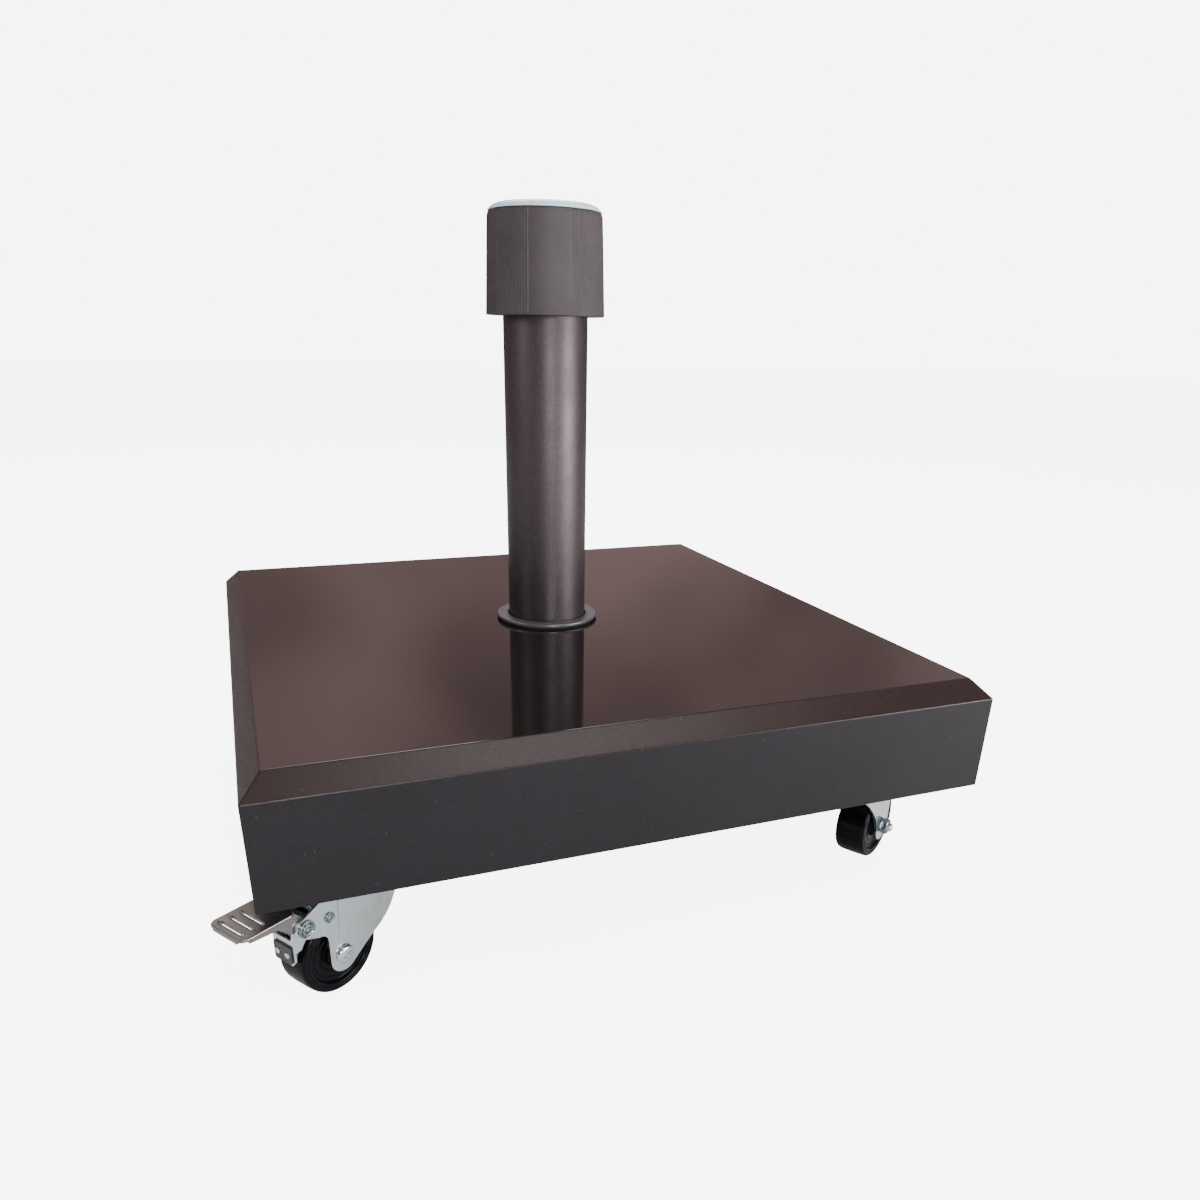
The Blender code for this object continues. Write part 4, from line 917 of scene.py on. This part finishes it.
def shoe_mesh():
    axle, inner = (TRAIL, WHEEL_RADIUS), WHEEL_RADIUS + SHOE_PLAY
    cheek = arc(axle, inner, 49, 30, 10) + [(SHOE_BACK, WHEEL_RADIUS + 0.0165), (SHOE_BACK, SHOE_HIGH)]
    cheek += arc((PIN_X, PIN_Z), 0.0058, -10, 215, 20)
    band = arc(axle, inner, 49, 13, 16) + arc(axle, inner + SHOE_SHEET, 13, 49, 16)
    made = moved(sheet("band", band, SHOE_HALF * 1.5), STAND_UP)
    back = [(-PLATE_HALF, SHOE_HIGH), (-PLATE_HALF, SHOE_FOOT + 0.003), (-PLATE_HALF + 0.003, SHOE_FOOT),
            (PLATE_HALF - 0.003, SHOE_FOOT), (PLATE_HALF, SHOE_FOOT + 0.003), (PLATE_HALF, SHOE_HIGH)]
    upright = Matrix(((0, 0, 1, SHOE_BACK - SHOE_SHEET / 2), (1, 0, 0, 0), (0, 1, 0, 0), (0, 0, 0, 1)))
    bends = [0, 0.003, 0.003, 0.003, 0.003, 0]
    made = joined(made, moved(sheet("back", eased(back, bends, 5), SHOE_SHEET), upright))
    for side in (-1, 1):
        stand = Matrix.Translation((0, side * (PLATE_HALF - SHOE_SHEET / 2), 0)) @ STAND_UP
        made = joined(made, moved(sheet("cheek", cheek, SHOE_SHEET), stand))
    drill = across_caster("drill", [(0, -0.03), (0.0038, -0.03), (0.0038, 0.03), (0, 0.03)], PIN_X, PIN_Z, 32)
    return rounded(cut(made, drill), 0.0003)


PAD_HALF, PAD_HIGH, PAD_THICK = 0.0095, 0.0075, 0.0014
PAD_X, PAD_Z = SHOE_BACK + 0.0003, (SHOE_LOW + SHOE_HIGH) / 2


def pad_outline(inset):
    wide, high, corner = PAD_HALF - inset, PAD_HIGH - inset, 0.0026 - inset
    points = [(-wide, high), (-wide, -high + corner)]
    points += arc((-wide + corner, -high + corner), corner, 180, 270, 8)
    points += arc((wide - corner, -high + corner), corner, 270, 360, 8)
    return points + [(wide, high)]


def pad_mesh():
    """A plate in the YZ plane with a raised border."""
    plate = sheet("pad", pad_outline(0.0), PAD_THICK)
    hollow = moved(sheet("hollow", pad_outline(0.0009), PAD_THICK),
                   Matrix.Translation((0, 0, PAD_THICK - 0.0003)))
    made = rounded(cut(plate, hollow), 0.00015, 1)
    upright = Matrix(((0, 0, 1, PAD_X + PAD_THICK / 2), (1, 0, 0, 0), (0, 1, 0, PAD_Z), (0, 0, 0, 1)))
    return moved(made, upright)


def pad_rivet(side):
    base, rise = PAD_X + PAD_THICK - 0.0002, 0.0011
    profile = eased([(0.0, 0.0), (0.00256, 0.0), (0.0024, rise * 0.7), (0.0012, rise), (0.0, rise)],
                    [0, 0.0001, 0.0005, 0.0006, 0], 4, closed=False)
    upright = Matrix(((0, 0, 1, base), (1, 0, 0, side * 0.0055), (0, 1, 0, PAD_Z), (0, 0, 0, 1)))
    return moved(turned("pad_rivet", profile, 40), upright)


shoe, pad = shoe_mesh(), pad_mesh()
print("shoe:", len(shoe.polygons), "faces, plate:", len(pad.polygons))

# %% [markdown]
# Above the fork are the ball race and the top plate, which is bolted to the stone. The race is two
# pressed cups with a groove between them. The plate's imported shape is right, so a copy of it only
# has its edges rounded.

# %% Turn the race and round the plates
race_low, race_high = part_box("swivel_race_front_left")
RACE_RADIUS = (race_high.x - race_low.x) / 2
RACE_MIDDLE = (race_low.z + race_high.z) / 2


def race_mesh():
    groove = 0.0014
    profile = [(0.0061, race_low.z), (RACE_RADIUS - groove, race_low.z), (RACE_RADIUS, race_low.z + groove),
               (RACE_RADIUS, RACE_MIDDLE - 0.0005), (RACE_RADIUS - groove, RACE_MIDDLE),
               (RACE_RADIUS, RACE_MIDDLE + 0.0005), (RACE_RADIUS, race_high.z), (0.0061, race_high.z)]
    return turned("race", eased(profile, [0, 0.001, 0.001, 0.0004, 0.0005, 0.0004, 0.0008, 0], 3), 96)


def softened(node, width):
    """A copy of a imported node's mesh with its sharp edges rounded."""
    return rounded(frame["nodes"][node].data.copy(), width)


race = race_mesh()
print("race:", len(race.polygons), "faces")

# %% [markdown]
# All the caster pieces are now ready to be placed. Each rides on its own body: the plate and race
# stay with the slab, the fork and its fasteners swivel, the wheel rolls, and the pedal and the shoe
# turn on the hinge pin.

# %% Place the casters
for corner in CORNERS:
    place = caster_place(corner)
    braked = corner in BRAKED
    still = Matrix.Translation((place.translation.x, place.translation.y, 0))
    piece(f"top_plate_{corner}", softened(f"mount_plate_{corner}", 0.0003), ZINC, "base",
          [f"mount_plate_{corner}"], flat=True)
    piece(f"race_{corner}", race, ZINC, "base", [f"swivel_race_{corner}"], still)
    turning = f"caster_{corner}"
    piece(f"caster_fork_{corner}", forks[braked], ZINC, turning, [f"fork_{corner}"],
          place, flat=True)
    piece(f"bush_{corner}", bush, BUSH, turning, [f"axle_bush_{corner}"], place)
    piece(f"bolt_{corner}", bolt, ZINC, turning, [f"axle_bolt_{corner}"], place)
    piece(f"nut_{corner}", nut, NUT_ZINC, turning, [f"axle_nut_{corner}"], place)
    piece(f"caster_wheel_{corner}", wheel, WHEEL_BLACK, f"wheel_{corner}", [f"wheel_{corner}"],
          place)
    if not braked:
        continue
    piece(f"hinge_pin_{corner}", hinge_pin, NUT_ZINC, turning, [f"pedal_pin_{corner}"],
          place)
    piece(f"stop_rivet_{corner}", stop_rivet, NUT_ZINC, turning, [f"stop_pin_{corner}"],
          place)
    piece(f"pedal_{corner}", pedal, PEDAL_ZINC_PAINTED_SHADE, f"pedal_{corner}", [f"brake_pedal_{corner}"],
          place, flat=True)
    on_shoe = f"shoe_{corner}"
    piece(f"shoe_{corner}", shoe, ZINC, on_shoe, [f"brake_shoe_{corner}"], place,
          flat=True)
    piece(f"shoe_plate_{corner}", pad, DARK_PLATE, on_shoe, [f"shoe_pad_{corner}"],
          place, flat=True)
    for index, side in enumerate((-1, 1), start=1):
        piece(f"plate_rivet_{corner}_{index}", pad_rivet(side), ZINC, on_shoe,
              [f"shoe_rivet_{corner}_{index}"], place)
print("casters placed:", len(CORNERS), "with brakes on", BRAKED)

# %% [markdown]
# ## Under the slab
#
# The stem is welded into a square flange that is bolted up into the stone. Nobody sees it until the
# base is tipped over, but it is plated like the casters and has rounded edges too.

# %% Finish the flange and its bolts
piece("flange", softened("flange_plate", 0.0005), ZINC, "base", ["flange_plate"],
      flat=True)
for index in range(1, 5):
    piece(f"flange_screw_{index}", softened(f"flange_bolt_{index}", 0.0004), ZINC, "base",
          [f"flange_bolt_{index}"])
print("flange finished")

# %% [markdown]
# ## Floor and light
#
# Dark polished stone and bright zinc show whatever stands round them, so the light matters as much
# as the finish. A tall soft lamp in front draws the long highlight on the stem, one at the front
# right lightens that end of the slab, and a wide one above the front edge fills the chamfer. Two
# more fill the left and the back. The floor is pale paper. It glows a little to the eye alone, so
# that it melts into the backdrop without lighting the object from below.

# %% Lay the floor
def floor_finish():
    paper = Finish("studio_paper", 0.9, Emission_Color=(1.0, 1.0, 1.0, 1.0), Specular_IOR_Level=0.0)
    tone = paper.ramp(paper.noise(3.0, 2.0), (0.3, (0.87, 0.87, 0.87)), (0.7, (0.89, 0.89, 0.89)))
    paper.colour(tone)
    seen_from = paper.nodes.new("ShaderNodeLightPath").outputs["Is Camera Ray"]
    paper.links.new(paper.math("MULTIPLY", seen_from, FLOOR_GLOW),
                    paper.shader.inputs["Emission Strength"])
    return paper.material


FLOOR_GLOW, BACKDROP_GLOW = 6.4, 7.0
floor_shape = bmesh.new()
bmesh.ops.create_grid(floor_shape, x_segments=1, y_segments=1, size=14.0)
floor = object_of(mesh_from(floor_shape, "floor"), "floor")
floor.location.z = -0.0004
floor.data.materials.append(floor_finish())
print("floor laid")


# %% [markdown]
# A polished top mirrors a lamp's outline, and a hard-edged one looks false. A real soft lamp is
# brightest in the middle of its cloth. The Parametric output runs from 0 to 1 across an area lamp,
# so a round gradient of it gives the same fading rim, and a gain keeps the lamp's whole output.

# %% Set the lights
RIM_WIDTH, RIM_GAIN = 0.55, 2.3


def fading_rim(data):
    """Let a lamp fade from the middle of its face to its rim."""
    data.use_nodes = True
    nodes, links = data.node_tree.nodes, data.node_tree.links
    centred = nodes.new("ShaderNodeMapping")
    centred.inputs["Location"].default_value = (-1.0, -1.0, 0.0)
    centred.inputs["Scale"].default_value = (2.0, 2.0, 0.0)
    fade = nodes.new("ShaderNodeTexGradient")
    fade.gradient_type = "SPHERICAL"
    soft = nodes.new("ShaderNodeMapRange")
    soft.interpolation_type = "SMOOTHSTEP"
    soft.inputs["From Max"].default_value = RIM_WIDTH
    soft.inputs["To Max"].default_value = RIM_GAIN
    links.new(nodes.new("ShaderNodeNewGeometry").outputs["Parametric"], centred.inputs["Vector"])
    links.new(centred.outputs["Vector"], fade.inputs["Vector"])
    links.new(fade.outputs["Fac"], soft.inputs["Value"])
    links.new(soft.outputs["Result"], nodes["Emission"].inputs["Strength"])


def lamp(name, at, aim, size, watts):
    data = bpy.data.lights.new(name, "AREA")
    data.shape, data.size, data.size_y = "RECTANGLE", size[0], size[1]
    data.energy = watts
    fading_rim(data)
    made = bpy.data.objects.new(name, data)
    bpy.context.scene.collection.objects.link(made)
    made.location = at
    made.rotation_euler = (Vector(aim) - Vector(at)).to_track_quat("-Z", "Y").to_euler()
    return made


lamp("tall_front", (-0.20, -2.60, 0.85), (0, 0, 0.35), (0.35, 1.4), 32.0)
lamp("low_right", (2.10, -2.00, 0.42), (0.2, -0.2, 0.15), (2.2, 0.8), 82.0)
lamp("above_front", (0.50, -1.20, 2.20), (0, -0.1, 0.2), (1.8, 1.4), 18.0)
lamp("left_fill", (-2.40, -0.40, 1.30), (0, 0, 0.3), (1.6, 1.6), 16.0)
lamp("behind", (0.50, 2.00, 2.60), (0, 0, 0.2), (2.4, 1.4), 52.0)
print("lights:", [light.name for light in bpy.data.lights])

# %% [markdown]
# The world has two jobs. The camera sees plain white, and the object is lit by a gentler sky that
# is brightest low down behind it, because the polished top mirrors what stands there.

# %% Light the world
world = bpy.data.worlds.new("studio")
world.use_nodes = True
bpy.context.scene.world = world
tree = world.node_tree
seen = tree.nodes["Background"]
seen.inputs["Color"].default_value = (1.0, 1.0, 1.0, 1.0)
seen.inputs["Strength"].default_value = BACKDROP_GLOW
lit = tree.nodes.new("ShaderNodeBackground")
direction = tree.nodes.new("ShaderNodeTexCoord")
turn = tree.nodes.new("ShaderNodeMapping")
turn.inputs["Rotation"].default_value = (0.0, 0.0, math.radians(-72.0))
axes = tree.nodes.new("ShaderNodeSeparateXYZ")
spread = tree.nodes.new("ShaderNodeMapRange")
spread.inputs["From Min"].default_value, spread.inputs["From Max"].default_value = -1.0, 1.0
sky = tree.nodes.new("ShaderNodeValToRGB")
sky.color_ramp.elements.new(0.5)
SKY = ((0.15, (0.16, 0.16, 0.17)), (0.5, (0.32, 0.31, 0.31)), (0.97, (0.46, 0.31, 0.30)))
for element, (position, colour) in zip(sky.color_ramp.elements, SKY):
    element.position, element.color = position, (*colour, 1.0)
tree.links.new(direction.outputs["Generated"], turn.inputs["Vector"])
tree.links.new(turn.outputs["Vector"], axes.inputs["Vector"])
tree.links.new(axes.outputs["X"], spread.inputs["Value"])
tree.links.new(spread.outputs["Result"], sky.inputs["Fac"])
lift = tree.nodes.new("ShaderNodeMapRange")
lift.inputs["From Min"].default_value, lift.inputs["From Max"].default_value = 0.0, 0.45
lift.inputs["To Min"].default_value, lift.inputs["To Max"].default_value = 0.25, 1.55
tree.links.new(axes.outputs["Z"], lift.inputs["Value"])
haze = tree.nodes.new("ShaderNodeTexNoise")
haze.inputs["Scale"].default_value, haze.inputs["Detail"].default_value = 3.2, 2.0
tree.links.new(direction.outputs["Generated"], haze.inputs["Vector"])
patches = tree.nodes.new("ShaderNodeMapRange")
patches.inputs["From Min"].default_value, patches.inputs["From Max"].default_value = 0.35, 0.65
patches.inputs["To Min"].default_value, patches.inputs["To Max"].default_value = 0.60, 1.35
tree.links.new(haze.outputs["Fac"], patches.inputs["Value"])
strength = tree.nodes.new("ShaderNodeMath")
strength.operation = "MULTIPLY"
tree.links.new(lift.outputs["Result"], strength.inputs[0])
tree.links.new(patches.outputs["Result"], strength.inputs[1])
tree.links.new(strength.outputs["Value"], lit.inputs["Strength"])
tree.links.new(sky.outputs["Color"], lit.inputs["Color"])
path, blend = tree.nodes.new("ShaderNodeLightPath"), tree.nodes.new("ShaderNodeMixShader")
tree.links.new(path.outputs["Is Camera Ray"], blend.inputs["Fac"])
tree.links.new(lit.outputs["Background"], blend.inputs[1])
tree.links.new(seen.outputs["Background"], blend.inputs[2])
tree.links.new(blend.outputs["Shader"], tree.nodes["World Output"].inputs["Surface"])
print("world set")

# %% [markdown]
# ## End
#
# Every piece now has its shape and finish, and rides on its body.

# %% End of the scene
print("scene built")
